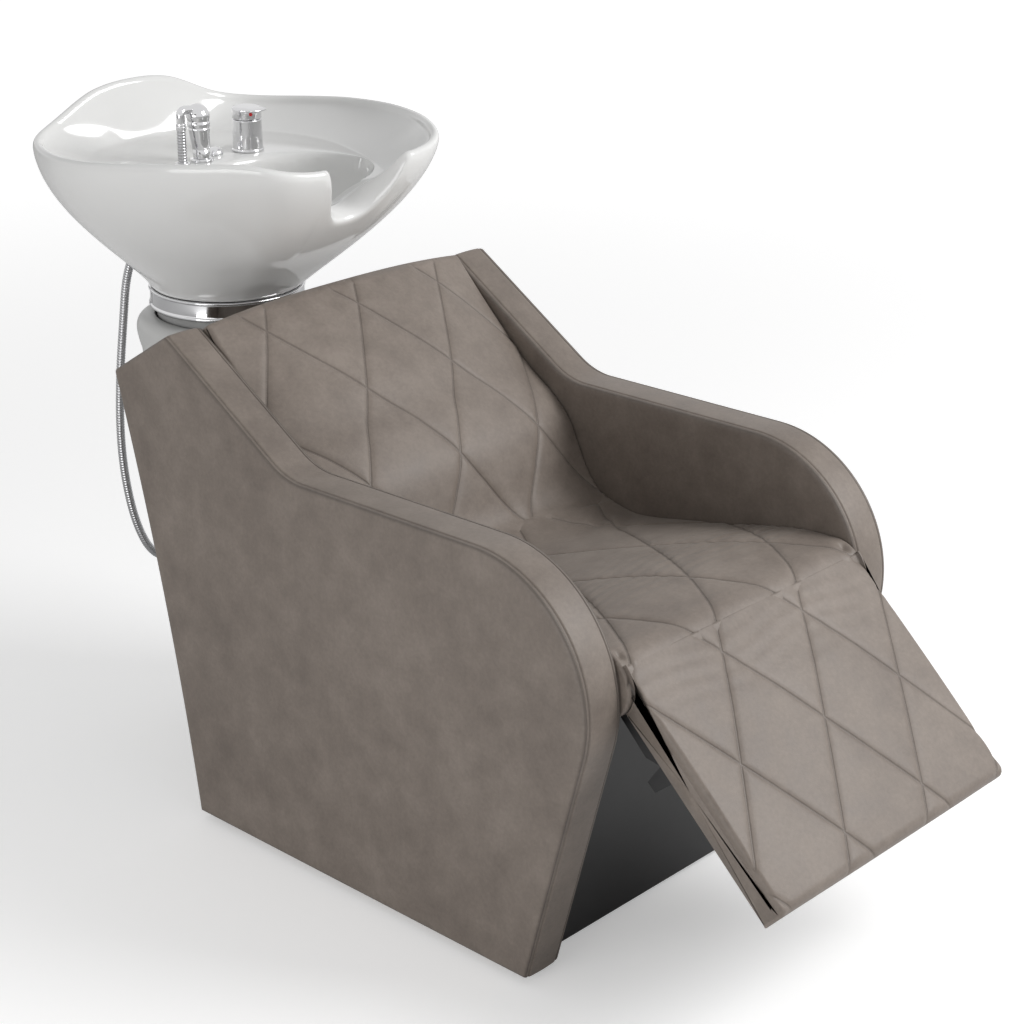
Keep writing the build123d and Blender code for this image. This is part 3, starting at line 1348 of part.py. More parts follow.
with BuildPart() as hose_nut:
    with BuildSketch(Plane.XY.offset(nut_top.Z)):
        with Locations((hose_x, hose_y)):
            Circle(hose_nut_r)
    extrude(amount=-hose_nut_h)
    fillet(hose_nut.edges(), radius=hose_nut_h / 8)
hose_nut.part.label = "hose_nut"
export_step(hose_nut.part, "parts/hose_nut.step")

with BuildPart() as hose_upper:
    with BuildSketch(Plane.XY.offset(nut_top.Z - hose_nut_h)):
        with Locations((hose_x, hose_y)):
            Circle(hose_r)
            Circle(hose_r - hose_wall, mode=Mode.SUBTRACT)
    extrude(amount=-(nut_top.Z - hose_nut_h - hose_under))
hose_upper.part.label = "hose_upper"
export_step(hose_upper.part, "parts/hose_upper.step")

# Free hose: from a nut under the mixer, out of the service opening, down behind the column
# and back up to the stretch that passes through the shelf. Places in millimetres.
mixer_tail_z = deck_z - hull_wall - nut_t - shank_r
hose_route = [(69, 594, 937), (69, 594, 880), (80, 656, 850), (92, 716, 838), (101, 750, 786),
              (108, 758, 706), (112, 760, 610), (113, 759, 500), (107, 757, 400), (86, 753, 310),
              (42, 749, 246), (-14, 748, 226), (-66, 749, 250), (-97, 751, 318), (-112, 754, 410),
              (-114, 756, 500), (-105, 757, 600), (-91, 757, 690), (-82, 751, 778),
              (-80, 716, 834), (-78, 656, 850), (-76, 602, 866), (-76, 589, 890), (-76, 589, 915)]
route = [Vector(*p) for p in hose_route]
route[0] = Vector(mixer_x, mixer_y, mixer_tail_z - hose_nut_h)
route[-1] = Vector(hose_x, hose_y, hose_under)
runs = [(b - a).length for a, b in zip(route, route[1:])]
turns = [(b - a).get_angle(c - b) for a, b, c in zip(route, route[1:], route[2:])]
radii = [0.45 * min(runs[i], runs[i + 1]) / math.tan(math.radians(turns[i] / 2))
         for i in range(len(turns))]
print("hose radii", [round(r) for r in radii])
with BuildPart() as hose_loop:
    with BuildLine() as hose_line:
        FilletPolyline(*route, radius=radii)
    with BuildSketch(Plane(origin=route[0], z_dir=route[1] - route[0])):
        Circle(hose_r)
    sweep()
print("hose length", round(hose_line.wires()[0].length),
      "volume ratio", round(hose_loop.part.volume / (math.pi * hose_r ** 2)
                            / hose_line.wires()[0].length, 4))
hose_loop.part.label = "hose_loop"
export_step(hose_loop.part, "parts/hose_loop.step")

with BuildPart() as tail_nut:
    with BuildSketch(Plane.XY.offset(mixer_tail_z)):
        with Locations((mixer_x, mixer_y)):
            Circle(hose_nut_r)
    extrude(amount=-hose_nut_h)
tail_nut.part.label = "hose_tail_nut"
export_step(tail_nut.part, "parts/hose_tail_nut.step")
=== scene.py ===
import json
import math

import bmesh
import bpy
import numpy as np
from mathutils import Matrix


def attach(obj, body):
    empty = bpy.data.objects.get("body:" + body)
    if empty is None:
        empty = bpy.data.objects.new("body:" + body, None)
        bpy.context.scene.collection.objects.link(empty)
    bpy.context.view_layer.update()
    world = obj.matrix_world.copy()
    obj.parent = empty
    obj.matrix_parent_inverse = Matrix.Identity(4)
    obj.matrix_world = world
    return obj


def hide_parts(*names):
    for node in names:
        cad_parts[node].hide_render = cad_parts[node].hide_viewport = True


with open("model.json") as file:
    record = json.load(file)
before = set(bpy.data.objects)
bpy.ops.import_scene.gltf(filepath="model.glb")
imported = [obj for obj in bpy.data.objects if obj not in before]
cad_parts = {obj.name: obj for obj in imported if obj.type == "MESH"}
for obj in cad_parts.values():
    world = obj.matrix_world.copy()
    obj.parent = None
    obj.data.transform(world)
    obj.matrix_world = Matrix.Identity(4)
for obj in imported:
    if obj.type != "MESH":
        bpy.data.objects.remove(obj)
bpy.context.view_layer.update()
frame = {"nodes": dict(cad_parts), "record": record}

# Camera: it looks down at the chair's right-hand front corner, as the photograph does,
# through a long lens set square on.
camera_place = (-2.41972, -2.33483, 1.87109)
camera_azimuth = -46.99
camera_elevation = 21.93
camera_data = bpy.data.cameras.new("camera")
camera_data.sensor_width = 36
camera_data.lens = 80.85
camera = bpy.data.objects.new("camera", camera_data)
camera.location = camera_place
camera.rotation_euler = (math.radians(90 - camera_elevation), 0, math.radians(camera_azimuth))
bpy.context.collection.objects.link(camera)
bpy.context.scene.camera = camera


def feed(tree, socket, value):
    """Links a field to a socket, or sets the socket; a colour gets its fourth value here."""
    if isinstance(value, Field):
        tree.links.new(value.socket, socket)
    elif isinstance(value, tuple) and len(socket.default_value) == 4:
        socket.default_value = (*value, 1)
    else:
        socket.default_value = value


class Field:
    """A shader socket that adds, subtracts and multiplies as a number does."""

    def __init__(self, tree, socket):
        self.tree = tree
        self.socket = socket

    def math(self, operation, *values):
        """One operation of the math node on fields or numbers."""
        node = self.tree.nodes.new("ShaderNodeMath")
        node.operation = operation
        for socket, value in zip(node.inputs, values):
            feed(self.tree, socket, value)
        return Field(self.tree, node.outputs[0])

    def __add__(self, other):
        return self.math("ADD", self, other)

    def __radd__(self, other):
        return self.math("ADD", other, self)

    def __sub__(self, other):
        return self.math("SUBTRACT", self, other)

    def __rsub__(self, other):
        return self.math("SUBTRACT", other, self)

    def __mul__(self, other):
        return self.math("MULTIPLY", self, other)


class Finish:
    """A material with one Principled shader, and a method that adds any other node."""

    def __init__(self, name):
        self.material = bpy.data.materials.new(name)
        self.material.use_nodes = True
        self.tree = self.material.node_tree
        self.shader = self.tree.nodes["Principled BSDF"]
        self.place = self.node("ShaderNodeTexCoord", out=3)

    def node(self, kind, settings=(), sockets=(), out=0):
        """Any node, with its settings and inputs by name or number, as the Field of one output."""
        node = self.tree.nodes.new(kind)
        for name, value in dict(settings).items():
            if name == "stops":
                ramp = node.color_ramp.elements
                while len(ramp) < len(value):
                    ramp.new(0.5)
                for stop, (place, colour) in zip(ramp, value):
                    stop.position = place
                    stop.color = (*colour, 1)
            else:
                setattr(node, name, value)
        for name, value in dict(sockets).items():
            feed(self.tree, node.inputs[name], value)
        return Field(self.tree, node.outputs[out])

    def noise(self, scale, detail=2.0, roughness=0.5, place=None):
        """Smooth noise from 0 to 1, with about scale patches in a metre."""
        return self.node("ShaderNodeTexNoise", {},
                         {"Vector": place or self.place, "Scale": scale, "Detail": detail,
                          "Roughness": roughness})

    def mix(self, factor, a, b):
        """Colour a where factor is 0, b where it is 1."""
        return self.node("ShaderNodeMix", {"data_type": "RGBA"}, {0: factor, 6: a, 7: b}, out=2)

    def smooth(self, value, low, high):
        """0 below low, 1 above high, smooth between."""
        return self.node("ShaderNodeMapRange", {"interpolation_type": "SMOOTHSTEP"},
                         {"Value": value, "From Min": low, "From Max": high})

    def shade(self, **values):
        """Sets the shader's inputs; an underscore stands for a space in an input's name."""
        for name, value in values.items():
            feed(self.tree, self.shader.inputs[name.replace("_", " ")], value)

    def relief(self, height, distance, strength=1.0):
        """The surface stands out by height times distance, in metres."""
        self.shade(Normal=self.node("ShaderNodeBump", {}, {"Height": height, "Distance": distance,
                                                           "Strength": strength}))


def plain(name, dark, pale, patch, roughness, spread, fine, **more):
    """A finish whose colour wanders from dark to pale and whose roughness wanders upwards from a
    value by spread; patch and fine are the scales of the two."""
    finish = Finish(name)
    finish.shade(Base_Color=finish.mix(finish.noise(patch), dark, pale),
                 Roughness=roughness + finish.noise(fine) * spread, **more)
    return finish


def unit(ways):
    """Directions, or one direction, made 1 long."""
    return ways / np.linalg.norm(ways, axis=-1, keepdims=True)


def along(line, axes=2):
    """How far along a line each of its points is; axes is how many of its values are places."""
    return np.r_[0, np.cumsum(np.linalg.norm(np.diff(line[:, :axes], axis=0), axis=1))]


def spaced(line, step, axes=2):
    """A line, with any other values it carries, as points about a step apart."""
    run = along(line, axes)
    at = np.linspace(0, run[-1], max(3, round(run[-1] / step) + 1))
    return np.stack([np.interp(at, run, values) for values in line.T], axis=1)


def raised(flat, z):
    """Places in the plane, at a height or a height each."""
    return np.column_stack([flat, np.full(len(flat), z)])


def circle(parts):
    """Angles once round, without the last, which is the first again."""
    return np.linspace(0, 2 * math.pi, parts, endpoint=False)


def spokes(parts):
    """Unit vectors outwards from an upright axis, once round."""
    turn = circle(parts)
    return np.stack([np.cos(turn), np.sin(turn), 0 * turn], axis=1)


def net(name, points, around=True):
    """A mesh of four-sided faces over an array of points, rows by columns by 3. around joins the
    last column to the first."""
    rows, columns = points.shape[:2]
    index = np.arange(rows * columns).reshape(rows, columns)
    right = np.roll(index, -1, axis=1)
    if not around:
        index, right = index[:, :-1], right[:, :-1]
    faces = np.stack([index[:-1], index[1:], right[1:], right[:-1]], axis=-1).reshape(-1, 4)
    mesh = bpy.data.meshes.new(name)
    mesh.from_pydata(points.reshape(-1, 3).tolist(), [], faces.tolist())
    return mesh


def placed(name, data):
    """An object of that name for a mesh or a lamp, in the scene."""
    thing = bpy.data.objects.new(name, data)
    bpy.context.collection.objects.link(thing)
    return thing


def dress(name, mesh, finish, body, stands_for=(), levels=0):
    """Merges doubles, turns the faces outwards, gives the finish and puts the piece on its body."""
    shape = bmesh.new()
    shape.from_mesh(mesh)
    bmesh.ops.remove_doubles(shape, verts=shape.verts, dist=2e-6)
    bmesh.ops.recalc_face_normals(shape, faces=shape.faces)
    shape.to_mesh(mesh)
    shape.free()
    mesh.polygons.foreach_set("use_smooth", np.ones(len(mesh.polygons), dtype=bool))
    mesh.materials.append(finish.material)
    piece = placed(name, mesh)
    if levels:
        rounder = piece.modifiers.new("round", "SUBSURF")
        rounder.levels = levels
        rounder.render_levels = levels
    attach(piece, body)
    if stands_for:
        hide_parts(*stands_for)
    return piece


def skin(name, points, finish, body, stands_for=(), levels=0):
    """A closed surface over rows of points; a first and last row that coincide close its ends."""
    return dress(name, net(name, points), finish, body, stands_for, levels)


# Shower hose: a chromed spiral hose. It leaves the mixer's shank under the shelf, comes out
# behind the basin, hangs in one loop behind the column and goes up through the shelf.
hose_d = 0.015
rib_pitch = 0.0048
rib_depth = 0.0011
hose_sides = 18
rib_rings = 6
hose_route = [(0.069, 0.594, 0.937), (0.069, 0.594, 0.88), (0.08, 0.656, 0.85),
              (0.092, 0.716, 0.838), (0.101, 0.75, 0.786), (0.108, 0.758, 0.706),
              (0.112, 0.76, 0.61), (0.113, 0.759, 0.5), (0.107, 0.757, 0.4),
              (0.086, 0.753, 0.31), (0.042, 0.749, 0.246), (-0.014, 0.748, 0.226),
              (-0.066, 0.749, 0.25), (-0.097, 0.751, 0.318), (-0.112, 0.754, 0.41),
              (-0.114, 0.756, 0.5), (-0.105, 0.757, 0.6), (-0.091, 0.757, 0.69),
              (-0.082, 0.751, 0.778), (-0.08, 0.716, 0.834), (-0.078, 0.656, 0.85),
              (-0.076, 0.602, 0.866), (-0.076, 0.589, 0.89), (-0.076, 0.589, 0.915)]
hose_top = (-0.076, 0.589, 1.0505)


def smooth_line(route):
    """The points of a NURBS curve of order 3 whose control points are the route."""
    curve = bpy.data.curves.new("line", "CURVE")
    curve.dimensions = "3D"
    spline = curve.splines.new("NURBS")
    spline.points.add(len(route) - 1)
    spline.points.foreach_set("co", [value for point in route for value in (*point, 1)])
    spline.order_u = 3
    spline.use_endpoint_u = True
    spline.resolution_u = 24
    holder = bpy.data.objects.new("line", curve)
    mesh = bpy.data.meshes.new_from_object(holder)
    line = np.empty(3 * len(mesh.vertices))
    mesh.vertices.foreach_get("co", line)
    bpy.data.objects.remove(holder)
    bpy.data.curves.remove(curve)
    bpy.data.meshes.remove(mesh)
    return line.reshape(-1, 3)


def tube(line, radius, sides):
    """Rings round a line. A ring's two directions are square to the line and to one fixed
    direction that the line never runs along, so the tube doesn't twist."""
    ahead = unit(np.gradient(line, axis=0))
    flat = unit(np.cross(ahead, (0.93, 0.36, 0.02)))
    up = np.cross(ahead, flat)
    turn = circle(sides)
    ring = flat[:, None] * np.cos(turn)[None, :, None] + up[:, None] * np.sin(turn)[None, :, None]
    rings = line[:, None] + ring * np.asarray(radius)[:, None, None]
    ends = [np.repeat(line[k][None], sides, axis=0)[None] for k in (0, -1)]
    return np.concatenate([ends[0], rings, ends[1]])


hose_grey = (0.5, 0.5, 0.51)
ribbed = plain("spiral_hose_chrome", hose_grey, hose_grey, 9.0, 0.14, 0.16, 60.0, Metallic=1.0)


def spiral_hose(name, line, stands_for, body):
    """A hose along a line. At the distance s its radius is hose_d / 2 - rib_depth (1 - w), where
    w = |sin(pi s / rib_pitch)|^0.7, so there is one rounded rib in each pitch."""
    length = along(line, 3)[-1]
    line = spaced(line, rib_pitch / rib_rings, 3)
    at = np.linspace(0, length, len(line))
    wave = np.abs(np.sin(math.pi * at / rib_pitch)) ** 0.7
    piece = skin(name, tube(line, hose_d / 2 - rib_depth * (1 - wave), hose_sides), ribbed, body,
                 [stands_for])
    return piece, line


hose, hose_line = spiral_hose("hose_loop_ribbed", smooth_line(hose_route), "hose_loop", "basin_unit")
spiral_hose("hose_upper_ribbed", np.array([hose_route[-1], hose_top]), "hose_upper", "shower")

# Leather: a thin taupe hide with a suede-like nap, cut for every cover. Its tone drifts in soft
# clouds, fine darker flecks follow the nap, and the grain is a shallow pebble.
hide_dark = (0.142, 0.116, 0.098)
hide_mid = (0.182, 0.151, 0.128)
hide_pale = (0.226, 0.19, 0.163)
quilt_w = 0.188
quilt_l = 0.3
quilt_turn = math.atan2(quilt_w, quilt_l)
quilt_step = quilt_w * math.cos(quilt_turn)
stitches = 36              # threads in the length of one rhomb's side
stitch_half = 0.0009
line_half = 0.003


def leather(name, lit_level=1.0, quilted=False):
    """The hide. Where the seam attribute is 1, in a seam or a stitched groove, it is darkened with
    painted shade. Quilted, it is darkened along the quilting lines, also painted shade, and its stitches
    are paler thread with a painted highlight.
    """
    hide = Finish(name)
    cloud = hide.noise(5.5, 5.0, 0.62)
    patch = hide.noise(22.0, 4.0, 0.6)
    fleck = hide.noise(160.0, 3.0, 0.65)
    shade = cloud * 0.42 + patch * 0.33 + fleck * 0.25
    # a level above 1 makes a paler copy of the hide: painted light
    scaled = [tuple(lit_level * c for c in colour) for colour in (hide_dark, hide_mid, hide_pale)]
    base = hide.node("ShaderNodeValToRGB",
                     {"stops": [(0.34, scaled[0]), (0.5, scaled[1]), (0.66, scaled[2])]},
                     {"Fac": shade})
    pebble = hide.node("ShaderNodeTexVoronoi", {"feature": "SMOOTH_F1"},
                       {"Vector": hide.place, "Scale": 620.0, "Smoothness": 0.6})
    wrinkle = hide.noise(90.0, 4.0, 0.6)
    height = pebble * 0.35 + wrinkle * 0.65
    # painted shade: the seam attribute darkens the hide in seams and grooves
    seam = hide.node("ShaderNodeAttribute", {"attribute_name": "seam"}, {}, out=2)
    base = hide.mix(seam * 0.62, base, tuple(0.3 * c for c in scaled[0]))
    if quilted:
        quilt = hide.node("ShaderNodeAttribute", {"attribute_name": "quilt"}, {}, out=1)
        one, two, top = (hide.node("ShaderNodeSeparateXYZ", {}, {0: quilt}, out=k) for k in range(3))
        away = [line.math("PINGPONG", line, 0.5) * quilt_step for line in (one, two)]
        near = away[0].math("MINIMUM", *away)
        # painted shade along the quilting lines, in their grooves; the same mask also sinks the relief
        # there
        line_mask = (1 - hide.smooth(near, 0.2 * line_half, line_half)) * top
        base = hide.mix(line_mask * 0.45, base, tuple(0.45 * c for c in scaled[0]))
        # the stitches: paler thread dashes, partly the thread's own colour and partly a painted highlight
        # on it
        thread_highlights = []
        for gap, run in zip(away, (two, one)):
            dash = run.math("PINGPONG", run * (quilt_l / quilt_w) * stitches, 0.5)
            thread_highlights.append((1 - hide.smooth(gap, stitch_half / 2.25, stitch_half))
                           * (1 - hide.smooth(dash, 0.2, 0.32)))
        thread_highlight = thread_highlights[0].math("MAXIMUM", *thread_highlights) * top
        base = hide.mix(thread_highlight * 0.5, base, tuple(0.9 * c for c in scaled[2]))
        height = height - line_mask * 2.2
    hide.shade(Base_Color=base, Roughness=0.42 + patch * 0.22, Specular_IOR_Level=0.45,
               Sheen_Weight=0.12, Sheen_Roughness=0.45)
    hide.relief(height, 0.0007, 0.55)
    return hide


# one hide in three copies: the band and the quilted covers, which face the light, are made 6 and 10
# percent paler, and this paleness is painted light
cover_hide = leather("taupe_leather")
band_hide = leather("taupe_leather_band", 1.06)
quilt_hide = leather("taupe_leather_quilted", 1.1, quilted=True)

# Side panels: a board between two padded skins, with a padded band round the edge. The skins
# are drawn in where they meet the band, and the band is stitched a finger's width from each seam.
inner_x, outer_x = 0.275, 0.35
skin_t = 0.015
arm_corner = [(-0.429, 0.012), (0.294, 0.012), (0.448, 0.738), (0.317, 0.82), (0.055, 0.656),
              (-0.604, 0.665)]
arm_round = [0.004, 0.004, 0.009, 0.009, 0.12, 0.208]
arm_round_parts = [5, 5, 9, 9, 31, 61]
arm_edge_parts = [80, 90, 20, 24, 40, 46]
rear_bow = 0.0127
seam_tuck = 0.0045
stitch_in = 0.0075
groove_half = 0.0014
face_rows = 26
skin_edge = [(0.012, 0.014), (0.0055, 0.01), (seam_tuck - 0.001, 0.0066), (seam_tuck - 0.0022, 0.004),
             (seam_tuck - 0.0012, 0.002), (0.006, 0.0008), (0.0095, 0.0002), (0.015, 0.0)]
middle = np.array([0.0, 0.35])


def paint_seam_shade(piece, shade):
    """Paints shade on a piece: its seam attribute darkens it where shade, one value for each point of its
    mesh, is above 0.
    """
    layer = piece.data.attributes.new("seam", "FLOAT", "POINT")
    layer.data.foreach_set("value", np.asarray(shade, dtype=np.float32))


def arm_outline(inset):
    """The panel's outline, moved inwards: its straight edges are shifted square to themselves,
    its corners become arcs, and the rear edge is bowed in. Every inset has the same points."""
    corner = np.array(arm_corner)
    ahead = unit(np.roll(corner, -1, axis=0) - corner)
    inward = np.stack([-ahead[:, 1], ahead[:, 0]], axis=1)
    before, inward_before = np.roll(ahead, 1, axis=0), np.roll(inward, 1, axis=0)
    bend = before[:, 0] * ahead[:, 1] - before[:, 1] * ahead[:, 0]
    reach = 1 + (inward * inward_before).sum(axis=1)
    moved = corner + inset * (inward + inward_before) / reach[:, None]
    arcs, line = [], []
    for k in range(6):
        radius = max(0.0015, arm_round[k] - math.copysign(inset, bend[k]))
        turn = math.acos(float((before[k] * ahead[k]).sum()))
        cut = radius * math.tan(turn / 2)
        side = math.copysign(1, bend[k])
        centre = moved[k] - before[k] * cut + side * inward_before[k] * radius
        sweep = np.linspace(0, turn, arm_round_parts[k])
        arcs.append(centre + radius * (-side * inward_before[k] * np.cos(sweep)[:, None]
                                       + before[k] * np.sin(sweep)[:, None]))
    for k in range(6):
        share = np.linspace(0, 1, arm_edge_parts[k] + 2)[1:-1, None]
        edge = arcs[k][-1] * (1 - share) + arcs[(k + 1) % 6][0] * share
        if k == 1:
            edge = edge + inward[k] * rear_bow * 4 * share * (1 - share)
        line += [arcs[k], edge]
    return np.concatenate(line)


def ripple(flat, depth):
    """Slow unevenness of a stretched cover: depth times the mean of three waves,
    sin(19 y + 7 z), sin(11 z - 23 y + 1.3) and sin(31 z + 5 y)."""
    y, z = flat[..., 0], flat[..., 1]
    waves = np.sin(19 * y + 7 * z) + np.sin(11 * z - 23 * y + 1.3) + np.sin(31 * z + 5 * y)
    return depth * waves / 3


def across(piece):
    """How far each point of a piece's mesh is from the chair's middle plane."""
    spot = np.empty(3 * len(piece.data.vertices))
    piece.data.vertices.foreach_get("co", spot)
    return np.abs(spot[::3])


def side_cover(name, face, seam, side, stands_for):
    """A skin over one face of a panel. From its seam it rolls round the edge; the face swells by
    0.8 mm min(1, 6 u), and ripples, where u runs from 0 at the edge to 1 at the middle."""
    out = math.copysign(1, face - seam)
    rings = [np.column_stack([np.full(len(flat), face - out * depth), flat])
             for flat, depth in ((arm_outline(inset), depth) for inset, depth in skin_edge)]
    count = len(rings[0])
    rings = [np.column_stack([np.full(count, seam), np.tile(middle, (count, 1))])] + rings
    edge = rings[-1][:, 1:]
    for share in np.linspace(0, 1, face_rows)[1:] ** 1.1:
        flat = edge * (1 - share) + middle * share
        swell = min(1.0, 6 * share) * 0.0008 + ripple(flat, 0.0006) * min(1, 8 * share)
        rings.append(np.column_stack([face + out * swell, flat]))
    points = np.stack(rings)
    points[..., 0] *= side
    points[0] = points[0].mean(axis=0)
    points[-1] = points[-1].mean(axis=0)
    cover = skin(name, points, cover_hide, "base", [stands_for])
    # painted shade: the cover darkens where it rolls round into the seam
    paint_seam_shade(cover, np.clip((out * (face - across(cover)) - 0.0006) / 0.0022, 0, 1))


def side_band(name, side, stands_for):
    """The band round a panel's edge. Its section is crowned, with a stitched groove of the form
    exp(-(d / groove_half)^2) beside each edge, and is tucked in at both seams by a power curve."""
    half = (outer_x - inner_x) / 2
    share = np.concatenate([np.linspace(a, b, 13) for a, b in ((-1, -0.7), (-0.6, 0.6), (0.7, 1))])
    groove = np.exp(-((half * (1 - np.abs(share)) - stitch_in) / groove_half) ** 2) * 0.002
    drop = seam_tuck * np.abs(share) ** 14 + 0.0016 * np.abs(share) ** 2.5 + groove - 0.0002
    section = list(zip(share * (half - 0.0016), drop))
    section += [(half - 0.004, 0.0105), (0, 0.0115), (-half + 0.004, 0.0105)]
    rows = []
    for x, inset in section:
        flat = arm_outline(inset)
        rows.append(np.column_stack([np.full(len(flat), side * ((inner_x + outer_x) / 2 + x)), flat]))
    band = skin(name, np.stack(rows + rows[:1]), band_hide, "base", [stands_for])
    share = np.abs(across(band) - (inner_x + outer_x) / 2) / half
    # painted shade in the stitched grooves and where the band tucks in at both seams
    groove_shade = np.exp(-((half * (1 - share) - stitch_in) / 0.0012) ** 2) * 0.75
    paint_seam_shade(band, np.maximum(groove_shade, np.clip((share - 0.945) / 0.03, 0, 1)))


for side, hand in ((1, "left"), (-1, "right")):
    side_cover(f"side_outer_cover_{hand}", outer_x, outer_x - skin_t, side, f"arm_outer_{hand}")
    side_cover(f"side_inner_cover_{hand}", inner_x, inner_x + skin_t, side, f"arm_inner_{hand}")
    side_band(f"side_band_{hand}", side, f"arm_band_{hand}")

# Seat cushion: foam on a board under quilted leather. Its section is a dished top that rolls
# over the legrest's hinge; the leather is sewn in rhombi and drawn in at its sides.
hinge = np.array([-0.501, 0.482])
roll_r = 0.05
crease = np.array([-0.03, 0.476])
seat_half = 0.2746
seat_crown = 0.018
seat_under = 0.4
grid_step = 0.0032
edge_round = 0.0055
quilt_row = -0.0714
groove_deep = 0.003
pillow_rise = 0.0016


def close_spline(places, count):
    """A smooth line through places, as count points: between b and c the cubic whose slope at
    each place is half the step between its neighbours, 0.5 (2 b + (c - a) t + ...)."""
    place = np.vstack([2 * places[0] - places[1], places, 2 * places[-1] - places[-2]])
    at = np.linspace(0, len(places) - 1, count)
    k = np.minimum(at.astype(int), len(places) - 2)
    t = (at - k)[:, None]
    a, b, c, d = place[k], place[k + 1], place[k + 2], place[k + 3]
    return 0.5 * (2 * b + (c - a) * t + (2 * a - 5 * b + 4 * c - d) * t ** 2
                  + (3 * b - a - 3 * c + d) * t ** 3)


def eased(line, corner, width, reach):
    """The line with one corner rounded: near the corner each point becomes the mean of all points,
    weighted by exp(-(d / width)^2 / 2), where d is how far along the line they are from it."""
    run = along(line)
    weight = np.exp(-((run[:, None] - run[None]) / width) ** 2 / 2)
    mean = weight @ line / weight.sum(axis=1)[:, None]
    share = np.exp(-((run - run[corner]) / reach) ** 4)[:, None]
    return line * (1 - share) + mean * share


def sunk(line, way, depths):
    """A line of points moved by depths along a direction, its other values kept."""
    line = line.copy()
    line[:, :2] += way * np.asarray(depths)[:, None]
    return line


def outward(line):
    """Unit normals of a closed line in the plane, to the right of its direction."""
    ahead = np.roll(line, -1, axis=0) - np.roll(line, 1, axis=0)
    ahead /= np.maximum(np.linalg.norm(ahead, axis=1), 1e-9)[:, None]
    return np.stack([ahead[:, 1], -ahead[:, 0]], axis=1)


def cushion(name, loop, rise, run, top, half, edge, body, stands_for, side_seam=0.0, folds=None,
            clear=None):
    """A padded block: a closed section in Y and Z, carried across the chair. rise is how far each
    point of the section swells at the middle, run is how far along the quilting it is, and top is
    1 where the quilting is sewn. Towards the sides the section is drawn in round the edge, as a
    quarter circle. The swelling is rise (1 - (x / half)^2.6); a seam sinks by
    groove_deep exp(-(d / 4.2 mm)^1.3) at the distance d from it. side_seam puts one more seam that
    far below the edge, folds adds relief, and clear moves points out of another piece's way."""
    normal = outward(loop)
    inner = np.linspace(-1, 1, round(2 * half / grid_step)) * (half - edge)
    turn = np.linspace(0, math.pi / 2, 7)[1:]
    far = [(half - edge + edge * math.sin(t), edge * (1 - math.cos(t))) for t in turn]
    if side_seam:
        far += [(half - dip, edge + side_seam + more)
                for more, dip in ((-0.0014, 0.0), (0.0, 0.0016), (0.0014, 0.0), (0.004, -0.0006))]
    x = np.concatenate([[-a for a, b in far[::-1]], inner, [a for a, b in far]])
    step_in = np.concatenate([[b for a, b in far[::-1]], 0 * inner, [b for a, b in far]])
    swell = 1 - np.minimum(1, np.abs(x) / half) ** 2.6
    lines = [(np.outer(np.ones(len(run)), x) * math.cos(quilt_turn)
              + way * (run - quilt_row)[:, None] * math.sin(quilt_turn)) / quilt_step
             for way in (1, -1)]
    away = [np.abs(line - np.round(line)) * quilt_step for line in lines]
    near = np.minimum(*away)
    sewn = top[:, None] * (1 - np.minimum(1, step_in / edge))[None]
    drawn = np.where(top[:, None] > 0, step_in[None], np.minimum(step_in, edge)[None])
    height = (rise[:, None] * swell[None] - drawn
              - sewn * groove_deep * np.exp(-(near / 0.0042) ** 1.3)
              + sewn * pillow_rise * (1 - np.exp(-(near / 0.03) ** 1.5)))
    if folds:
        height = height + folds(x[None], run[:, None]) * sewn
    places = loop[:, None] + normal[:, None] * height[..., None]
    points = np.concatenate([np.broadcast_to(x[None, :, None], height.shape + (1,)), places], axis=2)
    if clear:
        points = clear(points)
    closing = points[:, [0, -1]].copy()
    closing[:, :, 1:] = closing[:, :, 1:].mean(axis=0)
    points = np.concatenate([closing[:, :1], points, closing[:, 1:]], axis=1)
    mesh = net(name, np.concatenate([points, points[:1]]), around=False)
    quilt = np.stack([*lines, sewn], axis=2)
    quilt = np.concatenate([quilt[:, :1], quilt, quilt[:, -1:]], axis=1)
    quilt = np.concatenate([quilt, quilt[:1]])
    layer = mesh.attributes.new("quilt", "FLOAT_VECTOR", "POINT")
    layer.data.foreach_set("vector", quilt.reshape(-1).astype(np.float32))
    piece = dress(name, mesh, quilt_hide, body, [stands_for])


# The back's line is given along its chord and square to it, the seat's from the crease to the
# hinge; the third value of each is how full the cushion is there.
back_foot = np.array([-0.0297, 0.478])
back_top = np.array([0.305, 0.822])
back_thick = 0.079
back_crown = 0.038
back_line_share = [(0, 0, 0), (0.08, -0.0076, 0.25), (0.186, 0.0212, 0.5), (0.29, 0.05, 0.65),
                   (0.4, 0.044, 0.8), (0.51, 0.0215, 0.95), (0.64, 0.0117, 1.0),
                   (0.77, 0.003, 0.9), (0.9, 0, 0.66), (1, 0, 0.32)]
chord = back_top - back_foot
back_long = float(np.linalg.norm(chord))
chord /= back_long
front_way = np.array([-chord[1], chord[0]])
back_line = np.array([(*(back_foot + chord * u * back_long + front_way * v * back_long), k * back_crown)
                      for u, v, k in back_line_share])[::-1]
seat_line_share = [(0, 1.0, 0.45), (0.17, 1.25, 0.9), (0.45, 0.8, 1.0), (0.7, 0.34, 0.85),
                   (0.86, 0.08, 0.45), (1, 0, 0.05)]
seat_top_z = hinge[1] + roll_r
seat_line = np.array([(crease[0] + (hinge[0] - crease[0]) * u,
                       seat_top_z - (seat_top_z - crease[1]) * v, k * seat_crown)
                      for u, v, k in seat_line_share])

